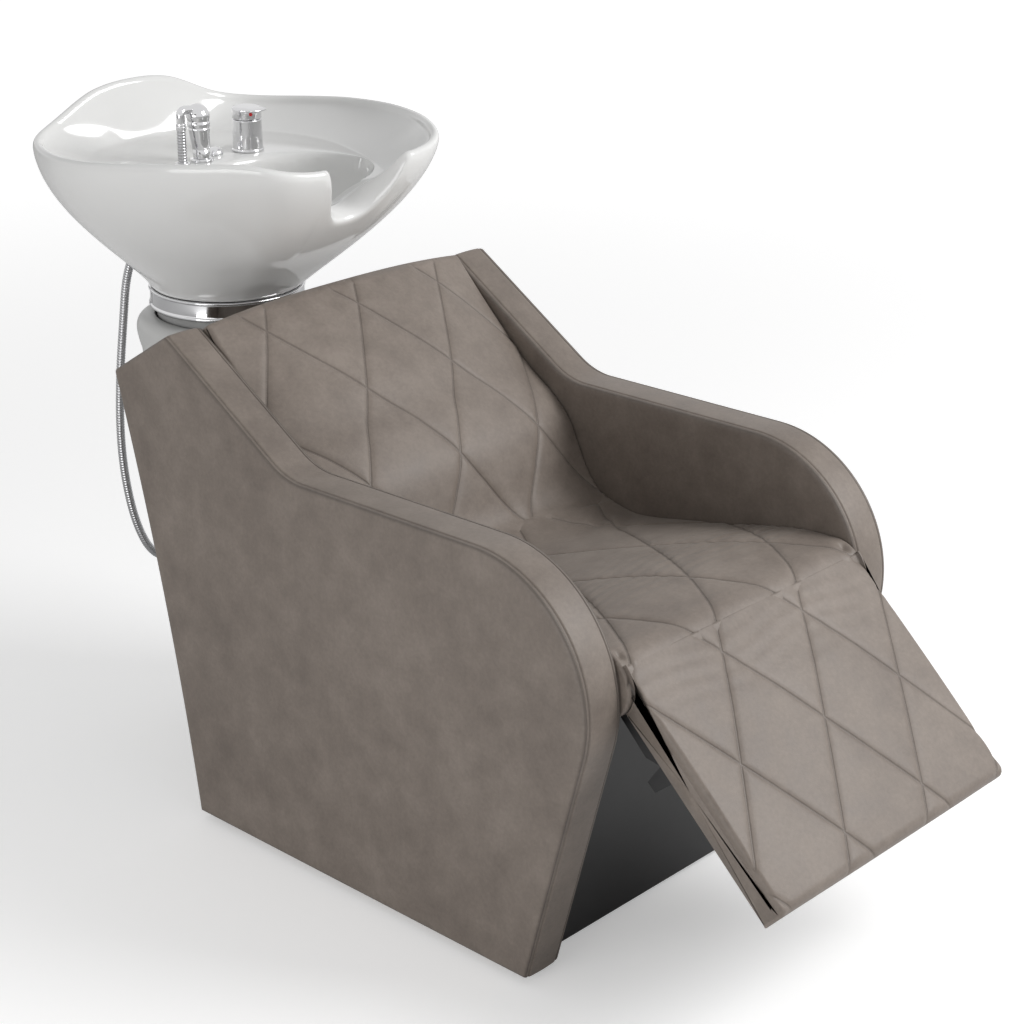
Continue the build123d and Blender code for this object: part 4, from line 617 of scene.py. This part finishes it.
# The back's and the seat's fronts are one line, rounded at the crease. Each cushion runs a
# little on under the other there.
back_front = spaced(close_spline(back_line, 500), grid_step)
seat_front = spaced(close_spline(seat_line, 400), grid_step)
split = len(back_front)
both = eased(np.concatenate([back_front, seat_front]), split, 0.016, 0.075)
tail = 8
tail_depth = np.linspace(0.0004, 0.0075, tail)
back_front = np.concatenate([both[:split], sunk(both[split:split + tail], -front_way, tail_depth)])
down = np.array([0.0, -1.0])
seat_front = np.concatenate([sunk(both[split - tail:split], down, tail_depth[::-1]), both[split:]])

turn = np.linspace(math.pi / 2, 3 * math.pi / 2, round(math.pi * roll_r / grid_step))[1:]
nose = hinge + roll_r * np.stack([np.cos(turn), np.sin(turn)], axis=1)
under = spaced(np.array([nose[-1], (crease[0], seat_under), seat_front[0, :2]]), 0.012)[1:-1]
loop = np.concatenate([seat_front[:, :2], nose, under])
rise = np.concatenate([seat_front[:, 2], np.zeros(len(nose) + len(under))])
run = np.concatenate([hinge[0] - seat_front[:, 0], roll_r * (turn - math.pi / 2),
                      np.full(len(under), 1.0)])
top = np.concatenate([np.ones(len(seat_front)), np.clip(2.2 - (turn - math.pi / 2), 0, 1),
                      np.zeros(len(under))])


def seat_folds(x, run):
    """Creases across the front of the seat, sines of two pitches bent by a slow wave, and at each
    side a pinch, a lump beside it and a tuck by the crease, each of the form exp(-(d / width)^2)."""
    bend = 0.006 * np.sin(x / 0.06 + 0.8) + 0.003 * np.sin(x / 0.023)
    front = np.exp(-((run + 0.13) / 0.085) ** 2)
    fine = (np.sin((run + bend) * 2 * math.pi / 0.019)
            + 0.6 * np.sin((run - 1.3 * bend) * 2 * math.pi / 0.031))
    side = np.exp(-((np.abs(x) - 0.2) / 0.05) ** 2) * np.exp(-((run + 0.4) / 0.05) ** 2)
    pinch = -0.0075 * np.exp(-((np.abs(x) - 0.259) / 0.0065) ** 2 - ((run - 0.02) / 0.0095) ** 2)
    lump = 0.003 * np.exp(-((np.abs(x) - 0.25) / 0.008) ** 2 - ((run - 0.036) / 0.012) ** 2)
    tuck = -0.0055 * np.exp(-((np.abs(x) - 0.235) / 0.03) ** 2 - ((run + 0.462) / 0.0055) ** 2)
    return (0.00055 * fine * front + 0.0028 * side * np.sin((run + 0.5 * np.abs(x)) * 2 * math.pi / 0.05)
            + pinch + lump + tuck)


def clear_side_arms(points):
    """Under the top flap the nose has a slot near each side, for the legrest's side arm."""
    far = np.abs(points[..., 0])
    slot = (far > 0.248) & (far < 0.2625) & (points[..., 2] < 0.503)
    points[..., 1] = np.where(slot, np.maximum(points[..., 1], -0.456), points[..., 1])
    return points


cushion("seat_cover", loop, rise, run, top, seat_half, edge_round, "base", "seat_cushion",
        folds=seat_folds, clear=clear_side_arms)

# Back cushion: the same foam and quilting on the sloping back board, fuller over its middle,
# and cut square along the top edge between the side panels.
cut_way = unit(np.array(arm_corner[2]) - np.array(arm_corner[3]))
rear_foot = back_foot - front_way * back_thick
rear_top = back_front[0, :2] + cut_way * back_thick
under = spaced(np.array([back_front[-1, :2], rear_foot, rear_top, back_front[0, :2]]), 0.006)[1:-1]
loop = np.concatenate([back_front[:, :2], under])
from_top = np.linalg.norm(under - back_front[0, :2], axis=1)
on_cut = np.abs((under - rear_top) @ np.array([-cut_way[1], cut_way[0]])) < 0.004
rise = np.concatenate([back_front[:, 2], on_cut * back_front[0, 2] * np.clip(1 - from_top / 0.04, 0, 1)])
at = along(back_front)
run = np.concatenate([at + quilt_row - 0.042, np.full(len(under), 1.0)])
top = np.concatenate([np.clip(at / 0.006, 0, 1), np.zeros(len(under))])
cushion("back_cover", loop, rise, run, top, seat_half, edge_round, "base", "back_cushion")

# Legrest: a flat pad on a board that hangs from the hinge. The quilting runs on from the seat,
# and a seam goes round its sides under the top edge.
rest_angle = math.radians(43)
leg_long = 0.392
leg_half = 0.27
leg_crown = 0.009
leg_round = 0.014
leg_edge = 0.006
leg_way = np.array([-math.cos(rest_angle), -math.sin(rest_angle)])
leg_up = np.array([-math.sin(rest_angle), math.cos(rest_angle)])
count = round((leg_long - leg_round) / grid_step)
s = np.r_[0.0004, 0.0016, np.linspace(0.004, leg_long - leg_round, count)]   # from the hinge
fullness = np.interp(s / leg_long, [0, 0.1, 0.3, 0.6, 0.88, 1], [0.0, 0.35, 0.95, 1.0, 0.8, 0.5])
turn = np.linspace(0, math.pi / 2, 8)[1:]
toe = np.stack([leg_long - leg_round + leg_round * np.sin(turn),
                roll_r - leg_round + leg_round * np.cos(turn)], axis=1)
hollow_r = roll_r + 0.0003
hollow_turn = np.linspace(0.02, math.acos(0.0006 / hollow_r), 26)
hollow = hollow_r * np.stack([np.cos(hollow_turn), np.sin(hollow_turn)], axis=1)
low = spaced(np.array([toe[-1], (leg_long, 0.0), (hollow_r, 0.0), hollow[0]]), 0.006)[1:-1]
flat = np.concatenate([np.stack([s, roll_r + 0 * s], axis=1), toe, low, hollow])
loop = hinge + flat[:, :1] * leg_way + flat[:, 1:] * leg_up
rise = np.concatenate([fullness, 0.5 * np.cos(turn), np.zeros(len(low) + len(hollow))]) * leg_crown
run = np.concatenate([roll_r * rest_angle + s,
                      roll_r * rest_angle + leg_long - leg_round + leg_round * turn,
                      np.full(len(low) + len(hollow), 1.0)])
top = np.concatenate([np.ones(len(s)), np.clip(1.2 - turn, 0, 1),
                      np.zeros(len(low) + len(hollow))])


def leg_folds(x, run):
    """Shallow drag lines near the hinge: exp(-((run - 90) / 50)^2) times a sine of 26 mm pitch,
    bent by a slow wave."""
    bent = run + 0.01 * np.sin(x / 0.05)
    return 0.00035 * np.exp(-((run - 0.09) / 0.05) ** 2) * np.sin(bent * 2 * math.pi / 0.026)


cushion("legrest_cover", loop, rise, run, top, leg_half, leg_edge, "legrest", "legrest_cushion",
        side_seam=0.0085, folds=leg_folds)

# Rear cover: leather over a bowed board between the side panels, rounded at its edges.
rear_in = 0.06
rear_t = 0.014
rear_half = 0.2747
low = np.array([arm_corner[1][0] - rear_in, arm_corner[1][1]])
high = np.array([arm_corner[2][0] - rear_in, arm_corner[2][1] + 0.024])
share = np.linspace(0, 1, 90)[:, None]
rear_y = low[0] + (high[0] - low[0]) * share - rear_bow * 4 * share * (1 - share)
rear_z = low[1] + (high[1] - low[1]) * share
x = np.linspace(-1, 1, 61)[None]
puff = 0.003 * np.abs(x) ** 6
sheets = [np.stack([x * rear_half + 0 * share, y + 0 * x, rear_z + 0 * x], axis=2)
          for y in (rear_y - puff, rear_y - rear_t)]
points = np.concatenate([sheets[0], sheets[1][:, ::-1]], axis=1)
ends = points[[0, -1]].copy()
ends[..., 1] = rear_y[[0, -1]] - rear_t / 2
skin("rear_cover", np.concatenate([ends[:1], points, ends[1:]]), cover_hide, "base", ["rear_panel"])

# Column cover: a moulded satin shell, slim at the floor and widest under its shoulder, which
# turns in to a round mouth. The mouth's front dips to leave room for the neck to tilt.
axis_y = 0.582
cover_line = [(0.076, 0.01), (0.149, 0.672), (0.1535, 0.69), (0.1558, 0.706), (0.1535, 0.718),
              (0.146, 0.726), (0.135, 0.73), (0.124, 0.731)]
shell_t = 0.004
mouth_dip = 0.0085
dip_low = 0.69
cast = plain("satin_grey_shell", (0.56, 0.56, 0.55), (0.6, 0.6, 0.59), 9.0, 0.3, 0.1, 40.0)
cast.relief(cast.noise(700.0), 0.0002, 0.3)
shoulder = spaced(close_spline(np.array(cover_line[1:]), 200), 0.0025)
shaft = spaced(np.array(cover_line[:2]), 0.012)
profile = np.concatenate([shaft[:-1], shoulder])
ahead = unit(np.gradient(profile, axis=0))
inside = profile - shell_t * np.stack([ahead[:, 1], -ahead[:, 0]], axis=1)
profile = np.concatenate([profile, inside[::-1], profile[:1]])
turn = circle(144)[None]
dip = mouth_dip * np.clip(-np.sin(turn), 0, 1) ** 2
radius, level = profile[:, :1], profile[:, 1:]
share = np.clip((level - dip_low) / (cover_line[-1][1] - dip_low), 0, 1)
points = np.stack([radius * np.cos(turn), axis_y + radius * np.sin(turn), level - dip * share], axis=2)
skin("column_shell", points, cast, "base", ["column_cover"])


def turned(name, profile, centre, finish, body, stands_for=(), sides=96):
    """A profile of radius and height turned round an upright axis."""
    profile = np.asarray(profile, dtype=float)
    points = profile[:, None, :1] * spokes(sides)[None] + np.array([*centre, 0])
    points[..., 2] = profile[:, 1:2]
    return skin(name, points, finish, body, stands_for)


def rounded(corners, radius, parts=6):
    """A line through corners. Each inner one, b, becomes the curve b + one (1 - t)^2 + two t^2,
    where one and two lead from b towards its neighbours by the radius."""
    line = [np.array(corners[0])]
    for a, b, c in zip(corners, corners[1:], corners[2:]):
        a, b, c = np.array(a), np.array(b), np.array(c)
        one, two = unit(a - b), unit(c - b)
        reach = min(radius, 0.45 * np.linalg.norm(a - b), 0.45 * np.linalg.norm(c - b))
        for t in np.linspace(0, 1, parts):
            line.append(b + one * reach * (1 - t) ** 2 + two * reach * t ** 2)
    line.append(np.array(corners[-1]))
    return np.array(line)


# Neck and ring: a grey collar that turns with the basin inside the cover's mouth, and a chromed
# ring above it with a rolled lip at each edge.
neck_grey = (0.36, 0.36, 0.355)
neck = plain("grey_collar", neck_grey, neck_grey, 9.0, 0.32, 0.12, 30.0)
neck_line = rounded([(0.116, 0.704), (0.12, 0.704), (0.12, 0.7449), (0.116, 0.7449), (0.116, 0.704)],
                    0.001)
turned("neck_cover", neck_line, (0, axis_y), neck, "basin_unit", ["neck_collar"])
chrome = Finish("polished_chrome")
chrome.shade(Base_Color=(0.74, 0.74, 0.75), Metallic=1.0, Roughness=0.05 + chrome.noise(35.0, 3.0) * 0.09)


def fitting(name, node, centre, arc, corners, body="basin_unit", sides=48):
    """A turned chrome fitting that stands for one node, with small arcs at its corners."""
    turned(name, rounded(corners, arc), centre, chrome, body, [node], sides)


ring_line = [(0.126, 0.745), (0.1295, 0.745), (0.1325, 0.748), (0.1325, 0.7505), (0.1302, 0.753),
             (0.13, 0.7735), (0.1322, 0.7755), (0.1322, 0.7778), (0.13, 0.779), (0.126, 0.779),
             (0.126, 0.745)]
fitting("chrome_ring", "basin_ring", (0, axis_y), 0.0014, ring_line, sides=160)

# Basin: glazed white ceramic, slip cast in one piece. The hull rises from the ring and flares
# to a rolled rim, which is raised at the rear and drops to a rounded neck rest at the front;
# inside, a shelf runs round the bowl.
basin_front = 0.222
basin_long = 0.597
basin_half = 0.321
hull_r = 0.1285
hull_z = 0.7785
rim_z = 1.046
deck_z = 0.991
rim_t = 0.017
rim_share = [(0.0, 0.0), (0.06, 0.0), (0.12, 0.0), (0.17, 0.0), (0.21, 0.0), (0.238, 0.0), (0.262, 0.0),
             (0.3, -0.002), (0.36, 0.002), (0.47, 0.012), (0.56, 0.04), (0.62, 0.085), (0.676, 0.132),
             (0.74, 0.182), (0.798, 0.232), (0.888, 0.332), (0.956, 0.432), (0.99, 0.5), (1.0, 0.57),
             (0.995, 0.63), (0.975, 0.683), (0.903, 0.783), (0.804, 0.883), (0.7, 0.95), (0.6, 0.977),
             (0.535, 0.985), (0.47, 0.99), (0.415, 0.993), (0.36, 0.996), (0.3, 0.998), (0.24, 1.0),
             (0.12, 1.0), (0.0, 1.0)]
foot_share = [(0.0, 0.07), (0.055, 0.07), (0.11, 0.07), (0.155, 0.07), (0.19, 0.07), (0.215, 0.072),
              (0.235, 0.075), (0.25, 0.085), (0.28, 0.1), (0.35, 0.14), (0.42, 0.2), (0.46, 0.24),
              (0.5, 0.28), (0.53, 0.32), (0.56, 0.36), (0.61, 0.44), (0.645, 0.5), (0.655, 0.54),
              (0.66, 0.58), (0.655, 0.62), (0.65, 0.66), (0.6, 0.75), (0.51, 0.84), (0.4, 0.905),
              (0.33, 0.92), (0.295, 0.926), (0.26, 0.93), (0.228, 0.933), (0.195, 0.935), (0.163, 0.938),
              (0.13, 0.94), (0.065, 0.94), (0.0, 0.94)]
side_share = [(-0.02, -0.016), (0.0, -0.014), (0.03, 0.003), (0.1, 0.016), (0.23, 0.01), (0.38, 0.001),
              (0.53, -0.01), (0.73, -0.02), (0.93, -0.032), (1.02, -0.032)]
arch_rise = 0.061
arch_half = 0.157
neck_low = 0.938
neck_tip = 0.083
bowl_y = 0.428
drain_y = 0.486
bowl_half = (0.163, 0.128)


def whole(half):
    """Both halves of a list of places given for one side, from the front round to the rear."""
    half = np.array(half, dtype=float)
    other = half[-2:0:-1] * (-1, 1)
    return np.concatenate([half, other])


rim = whole(rim_share) * (basin_half, basin_long) + (0, basin_front)
foot = whole(foot_share) * (basin_half, basin_long) + (0, basin_front)
wave = close_spline(np.array(side_share), 200)
height = rim_z + np.interp((rim[:, 1] - basin_front) / basin_long, wave[:, 0], wave[:, 1]) * basin_long
rearward = (rim[:, 1] - basin_front) / basin_long > 0.78
arch = rim_z - 0.032 * basin_long + arch_rise * np.exp(-np.abs(rim[:, 0] / arch_half) ** 3.05)
height = np.where(rearward, np.maximum(height, arch), height)
in_neck = np.clip(1 - np.abs(rim[:, 0]) / neck_tip, 0, 1) * (rim[:, 1] < 0.3)
dip = neck_low + (rim_z - 0.009 - neck_low) * np.clip(np.abs(rim[:, 0]) / neck_tip, 0, 1) ** 3.6
rim_height = np.where(in_neck > 0, np.minimum(height, dip), height)
centre = np.array([0, axis_y])
start = unit(rim - centre) * hull_r
rear_share = np.clip((rim[:, 1] - axis_y) / 0.12 + 0.5, 0, 1)
lift = 1.58 + 0.37 * rear_share
flare = 0.88 - 0.16 * rear_share
top_share = (rim_height - hull_z) / (height - hull_z)


def hull(share):
    """Places on the hull at a share s of the way up: outwards from the foot circle to the rim by
    f = (1 - (1 - s)^lift)^(1 / flare)."""
    s = share * top_share
    f = (1 - (1 - s) ** lift) ** (1 / flare)
    place = centre + start + (rim - centre - start) * f[:, None]
    return raised(place, hull_z + (height - hull_z) * s)


lip = hull(1.0)
inward = unit(centre + (0, -0.02) - lip[:, :2])
neck_mask = np.clip(in_neck * 4, 0, 1)[:, None]


def over(inset, drop, neck_inset, neck_drop):
    """A row of the rolled rim, inset from the lip and dropped below it; at the neck's cut the
    second pair of values counts, for the broader roll that carries the neck."""
    place = lip[:, :2] + inward * (inset + (neck_inset - inset) * neck_mask)
    return raised(place, lip[:, 2] - drop - (neck_drop - drop) * neck_mask[:, 0])


mid_neck = np.clip(in_neck * 3, 0, 1)[:, None]
neck_floor = lip[:, 2] + 0.004
wall_top = over(rim_t, 0.01, 0.052, -0.012)
neck_foot = raised(lip[:, :2] + inward * 0.078, np.minimum(neck_floor, deck_z + 0.03))
foot_row = raised(foot, deck_z) * (1 - neck_mask) + neck_foot * neck_mask
wall_mid = wall_top * 0.5 + foot_row * 0.5
wall_mid[:, 2] = wall_top[:, 2] * 0.42 + foot_row[:, 2] * 0.58
wall_mid[:, :2] = wall_top[:, :2] * 0.55 + foot_row[:, :2] * 0.45
angle = np.arctan2((foot[:, 1] - bowl_y) / bowl_half[1], foot[:, 0] / bowl_half[0])
bowl_edge = raised(np.stack([bowl_half[0] * np.cos(angle), bowl_y + bowl_half[1] * np.sin(angle)],
                            axis=1), deck_z)
bowl_edge[:, 2] -= mid_neck[:, 0] * (deck_z - neck_low + 0.01)


def between(a, b, share, z=None):
    """The row a (1 - share) + b share; a height z, where given, holds away from the neck."""
    row = a * (1 - share) + b * share
    if z is not None:
        row[:, 2] = row[:, 2] * mid_neck[:, 0] + z * (1 - mid_neck[:, 0])
    return row


def bowl(scale, z, slide):
    """A level of the bowl: its edge scaled, and slid from the bowl's middle towards the drain."""
    row = bowl_edge.copy()
    row[:, 0] *= scale
    row[:, 1] = bowl_y + (drain_y - bowl_y) * slide + (row[:, 1] - bowl_y) * scale
    row[:, 2] = np.minimum(z, bowl_edge[:, 2] - 0.004)
    return row


rows = [raised(centre + start * scale, z) for scale, z in ((0, 0.779), (0.97, 0.779), (1, 0.7795))]
rows += [hull(share) for share in (0.05, 0.09, 0.15, 0.24, 0.35, 0.48, 0.62, 0.76, 0.88, 0.96)]
rows += [over(*roll) for roll in ((0.0005, 0, 0.002, -0.001), (0.0035, -0.0045, 0.009, -0.009),
                                  (0.0085, -0.0065, 0.02, -0.015), (0.0135, -0.0045, 0.032, -0.018),
                                  (rim_t, 0.002, 0.043, -0.017))]
rows += [wall_top, wall_mid, between(wall_mid, foot_row, 0.75), foot_row]
rows += [between(foot_row, bowl_edge, share, deck_z) for share in (0.12, 0.45, 0.8, 0.93)]
rows += [bowl_edge - (0, 0, 0.002)]
rows += [bowl(scale, deck_z - depth, slide) for scale, depth, slide in
         ((0.965, 0.014, 0.03), (0.93, 0.04, 0.12), (0.86, 0.075, 0.3), (0.72, 0.11, 0.55),
          (0.5, 0.132, 0.8), (0.28, 0.139, 0.95), (0.12, 0.141, 1.0), (0.0, 0.141, 1.0))]
glaze = plain("white_glaze", (0.8, 0.8, 0.79), (0.83, 0.83, 0.82), 7.0, 0.07, 0.05, 25.0,
              Coat_Weight=0.3, Coat_Roughness=0.04)
glaze.relief(glaze.noise(14.0), 0.001, 0.25)
skin("ceramic_basin", np.stack(rows), glaze, "basin_unit", ["basin"], levels=2)

# Mixer: a chromed brass body with a thin foot flange and a cap-shaped lever with a short nose,
# which lifts for flow and turns for warmth; a red dot marks the warm side.
mixer = np.array([0.069, 0.594])
fitting("mixer_barrel", "mixer_body", mixer, 0.0012,
        [(0, 0.9912), (0.027, 0.9912), (0.027, 0.9945), (0.0252, 0.9955), (0.0246, 1.044),
         (0.0225, 1.0449), (0, 1.0449)], sides=72)
lever_low, lever_high = 1.0456, 1.0655
lever_r = 0.0247
nose_out = 0.011
nose_sides = 96
turn = circle(nose_sides)
toward = spokes(nose_sides)[:, :2]
nose_way = np.clip((np.cos(turn + math.pi / 2) - 0.72) / 0.2, 0, 1)
nose_way = nose_way * nose_way * (3 - 2 * nose_way)
lever_rows = [(0, 0.02, 0), (0, 0.001, 0), (0.04, 0, 0), (0.5, 0, 0), (0.66, 0, 0.15), (0.74, 0, 0.75),
              (0.8, 0, 1), (0.9, 0.0005, 1), (0.96, 0.002, 0.97), (0.99, 0.005, 0.9), (1.0, 0.012, 0.5)]
rows = []
for share, inset, out in lever_rows:
    outline = lever_r + nose_out * nose_way * out - inset
    rows.append(raised(toward * outline[:, None] + mixer, lever_low + (lever_high - lever_low) * share))
ends = [np.tile((*mixer, z), (nose_sides, 1)) for z in (lever_low, lever_high)]
skin("mixer_cap_lever", np.stack([ends[0], *rows, ends[1]]), chrome, "mixer_handle", ["mixer_lever"])
dot = plain("red_enamel", (0.55, 0.01, 0.015), (0.62, 0.02, 0.02), 300.0, 0.3, 0.0, 9.0)
dot_turn = math.radians(-115)
dot_side = np.array([-math.sin(dot_turn), math.cos(dot_turn), 0])
dot_out = np.array([math.cos(dot_turn), math.sin(dot_turn), 0])
dot_at = np.array([*mixer, 1.056]) + dot_out * 0.025
turn = circle(24)
rows = []
for radius, out in ((0, -0.0005), (0.003, -0.0005), (0.003, 0.0008), (0.0024, 0.0012), (0, 0.0013)):
    rows.append(dot_at + dot_out * out + radius * (np.cos(turn)[:, None] * dot_side
                                                   + np.sin(turn)[:, None] * np.array([0, 0, 1])))
skin("warm_mark", np.stack(rows), dot, "mixer_handle")

# Shelf fittings: a domed blanking cap and the hand shower's socket.
turned("blank_cap", [(0, 0.9905), (0.014, 0.9905), (0.0141, 0.9925), (0.0132, 0.9965), (0.0112, 1.0),
                     (0.008, 1.0025), (0.004, 1.0038), (0, 1.0041)], (0.008, 0.608), chrome, "basin_unit",
       ["shelf_cap"], 48)
fitting("socket_rim", "shower_socket", (-0.036, 0.588), 0.001,
        [(0.0131, 0.953), (0.0145, 0.953), (0.0145, 0.9905), (0.019, 0.9905), (0.019, 0.995),
         (0.0165, 0.997), (0.0131, 0.997), (0.0131, 0.953)])

# Hand shower: a chromed handle that stands in its socket and leans a little, with a ball head,
# an elbow to the hose and a grooved nut; then the hose's bush and the drain's rose.
lean = math.radians(3.0)
lean_way = np.array([-math.sin(lean) * math.sqrt(0.5), math.sin(lean) * math.sqrt(0.5), math.cos(lean)])
shower_foot = np.array([-0.036, 0.588, 0.997])
lean_from = 0.01          # the handle leans above this height
ball_rise = 0.07
ball_r = 0.0196
handle = [(0, -0.038), (0.012, -0.038), (0.012, -0.0005), (0.0142, 0.0002), (0.0144, 0.001),
          (0.0147, 0.014), (0.0139, 0.0147), (0.0139, 0.0157), (0.015, 0.0165), (0.0162, 0.033),
          (0.0176, 0.047), (0.0181, 0.05), (0.0173, 0.0506), (0.0173, 0.0516), (0.0184, 0.0524),
          (0.0192, 0.06)]
ball = [(ball_r * math.cos(t), ball_rise + ball_r * math.sin(t))
        for t in np.linspace(-0.45, math.pi / 2, 22)]
rows = []                  # along the handle, each a ring of radius at its height
for radius, up in handle + ball:
    tilt = min(1, max(0, up) / lean_from)
    way = lean_way * tilt + np.array([0, 0, 1.0]) * (1 - tilt)
    rows.append(shower_foot + way * up + radius * spokes(64))
skin("shower_handle", np.stack(rows), chrome, "shower", ["hand_shower"])
ball_at = shower_foot + lean_way * ball_rise
elbow = smooth_line([tuple(ball_at + (-0.004, 0, 0.0085)), (-0.058, 0.592, 1.08),
                     (-0.075, 0.5895, 1.079), (-0.076, 0.589, 1.068), (-0.076, 0.589, 1.059)])
elbow = spaced(elbow, 0.0012, 3)
skin("shower_elbow_pipe", tube(elbow, np.full(len(elbow), 0.0072), 32), chrome, "shower",
     ["shower_elbow"])
hose_centre = (-0.076, 0.589)
fitting("hose_collar", "hose_nut", hose_centre, 0.0005,
        [(0, 1.049), (0.0082, 1.049), (0.0086, 1.05), (0.0086, 1.0545), (0.008, 1.055),
         (0.008, 1.0558), (0.0086, 1.0563), (0.0082, 1.0598), (0, 1.06)], "shower", 40)
fitting("hose_bush", "hose_grommet", hose_centre, 0.0008,
        [(0.0083, 0.977), (0.01, 0.977), (0.01, 0.9905), (0.013, 0.9905), (0.0125, 0.995),
         (0.0083, 0.995), (0.0083, 0.977)], sides=40)
fitting("drain_rose", "drain_strainer", (0, drain_y), 0.0008,
        [(0, 0.85), (0.0225, 0.85), (0.0222, 0.8522), (0.019, 0.8532), (0, 0.852)])

# Carried-over metal, board and plastic: black powder coat on the frame and brackets, bright
# zinc pins, plywood boards and plain moulded waste pipes. The front panel is a satin sheet.
coat = plain("black_powder_coat", (0.012, 0.012, 0.013), (0.02, 0.02, 0.021), 20.0, 0.42, 0.12, 120.0)
coat.relief(coat.noise(900.0), 0.0003, 0.4)
satin = plain("satin_black_sheet", (0.02, 0.02, 0.021), (0.028, 0.028, 0.029), 12.0, 0.3, 0.1, 60.0)
zinc_grey = (0.55, 0.56, 0.58)
zinc = plain("bright_zinc", zinc_grey, zinc_grey, 9.0, 0.28, 0.15, 80.0, Metallic=1.0)
ply = Finish("plywood")
stretched = ply.node("ShaderNodeMapping", {}, {"Vector": ply.place, "Scale": (2.0, 40.0, 160.0)})
grain = ply.noise(3.0, 4.0, place=stretched)
ply.shade(Base_Color=ply.mix(grain, (0.42, 0.28, 0.15), (0.6, 0.44, 0.27)), Roughness=0.6 + grain * 0.1)
pipe = plain("white_waste_plastic", (0.62, 0.62, 0.61), (0.68, 0.68, 0.67), 15.0, 0.38, 0.1, 60.0)
mould = plain("black_moulding", (0.016, 0.016, 0.016), (0.028, 0.028, 0.028), 30.0, 0.45, 0.12, 150.0)
finish_of = {"upholstery": cover_hide, "board": ply, "black_sheet": satin, "black_steel": coat,
             "steel": zinc, "black_plastic": mould, "shell": cast, "collar": neck, "ceramic": glaze,
             "chrome": chrome, "waste_plastic": pipe}
slot_of = {row["node"]: row["material_slot"] for row in frame["record"]["subparts"]}
for name, node in frame["nodes"].items():
    node.data.materials.clear()
    node.data.materials.append(finish_of[slot_of[name]].material)
frame["nodes"]["back_board"].data.materials[0] = mould.material

# Studio: a pale floor that fades into a white surround, one broad soft light above the foot end
# and the left side, a weak fill, and a black card that only the gloss shows.
floor_finish = Finish("pale_floor")
floor_finish.shade(Base_Color=(0.86, 0.86, 0.86), Roughness=0.75, Specular_IOR_Level=0.2)
far = floor_finish.node("ShaderNodeVectorMath", {"operation": "LENGTH"}, {0: floor_finish.place}, out=1)
floor_seen = floor_finish.node("ShaderNodeLightPath", out=0)
floor_glow = floor_seen * (floor_finish.smooth(far, 1.4, 6.0) * 0.3 + 0.36)
floor_finish.shade(Emission_Color=(1.0, 1.0, 1.0), Emission_Strength=floor_glow)
corner_signs = ((-1, -1), (1, -1), (1, 1), (-1, 1))


def sheet(name, corners, finish):
    """A flat four-cornered piece of the studio."""
    mesh = bpy.data.meshes.new(name)
    mesh.from_pydata(corners, [], [(0, 1, 2, 3)])
    mesh.materials.append(finish.material)
    piece = placed(name, mesh)
    return piece


floor_half = 30.0
sheet("floor", [(floor_half * a, floor_half * b, 0) for a, b in corner_signs], floor_finish)
surround = bpy.data.worlds.new("surround")
surround.use_nodes = True
bpy.context.scene.world = surround
sky = surround.node_tree
glow = sky.nodes["Background"]
path = sky.nodes.new("ShaderNodeLightPath")
seen = Field(sky, path.outputs["Is Camera Ray"])
bright = seen.math("MAXIMUM", seen, Field(sky, path.outputs["Is Glossy Ray"]) * 0.8)
level = bright * 0.6 + 0.4
sky.links.new(level.socket, glow.inputs["Strength"])
glow.inputs["Color"].default_value = (1, 1, 1, 1)


def soft_light(name, place, aim, size, power):
    """A square lamp that looks from its place towards an aim."""
    lamp = bpy.data.lights.new(name, "AREA")
    lamp.shape = "SQUARE"
    lamp.size = size
    lamp.energy = power
    light = placed(name, lamp)
    way = unit(np.array(place) - np.array(aim))
    light.location = place
    light.rotation_euler = (math.acos(way[2]), 0, math.atan2(way[1], way[0]) + math.pi / 2)


def dark_card(name, place, aim, size):
    """A black card that only shows in gloss: studios put such cards round chrome and glaze."""
    way = unit(np.array(place) - np.array(aim))
    flat = unit(np.cross((0, 0, 1), way))
    up = np.cross(way, flat)
    corners = [tuple(np.array(place) + flat * a * size[0] / 2 + up * b * size[1] / 2)
               for a, b in corner_signs]
    card = sheet(name, corners, card_finish)
    card.visible_camera = card.visible_diffuse = False
    card.visible_shadow = card.visible_transmission = False


card_finish = Finish("black_card")
card_finish.shade(Base_Color=(0.004, 0.004, 0.004), Roughness=1.0, Specular_IOR_Level=0.0)
dark_card("card_left", (-2.7, -0.9, 1.9), (0, 0.58, 1.0), (0.9, 0.7))
soft_light("key", (1.9, -2.9, 2.9), (0, -0.2, 0.45), 2.0, 125)
soft_light("fill", (-3.0, -0.4, 0.75), (0, 0, 0.45), 1.6, 26)
bpy.context.scene.view_settings.view_transform = "Standard"
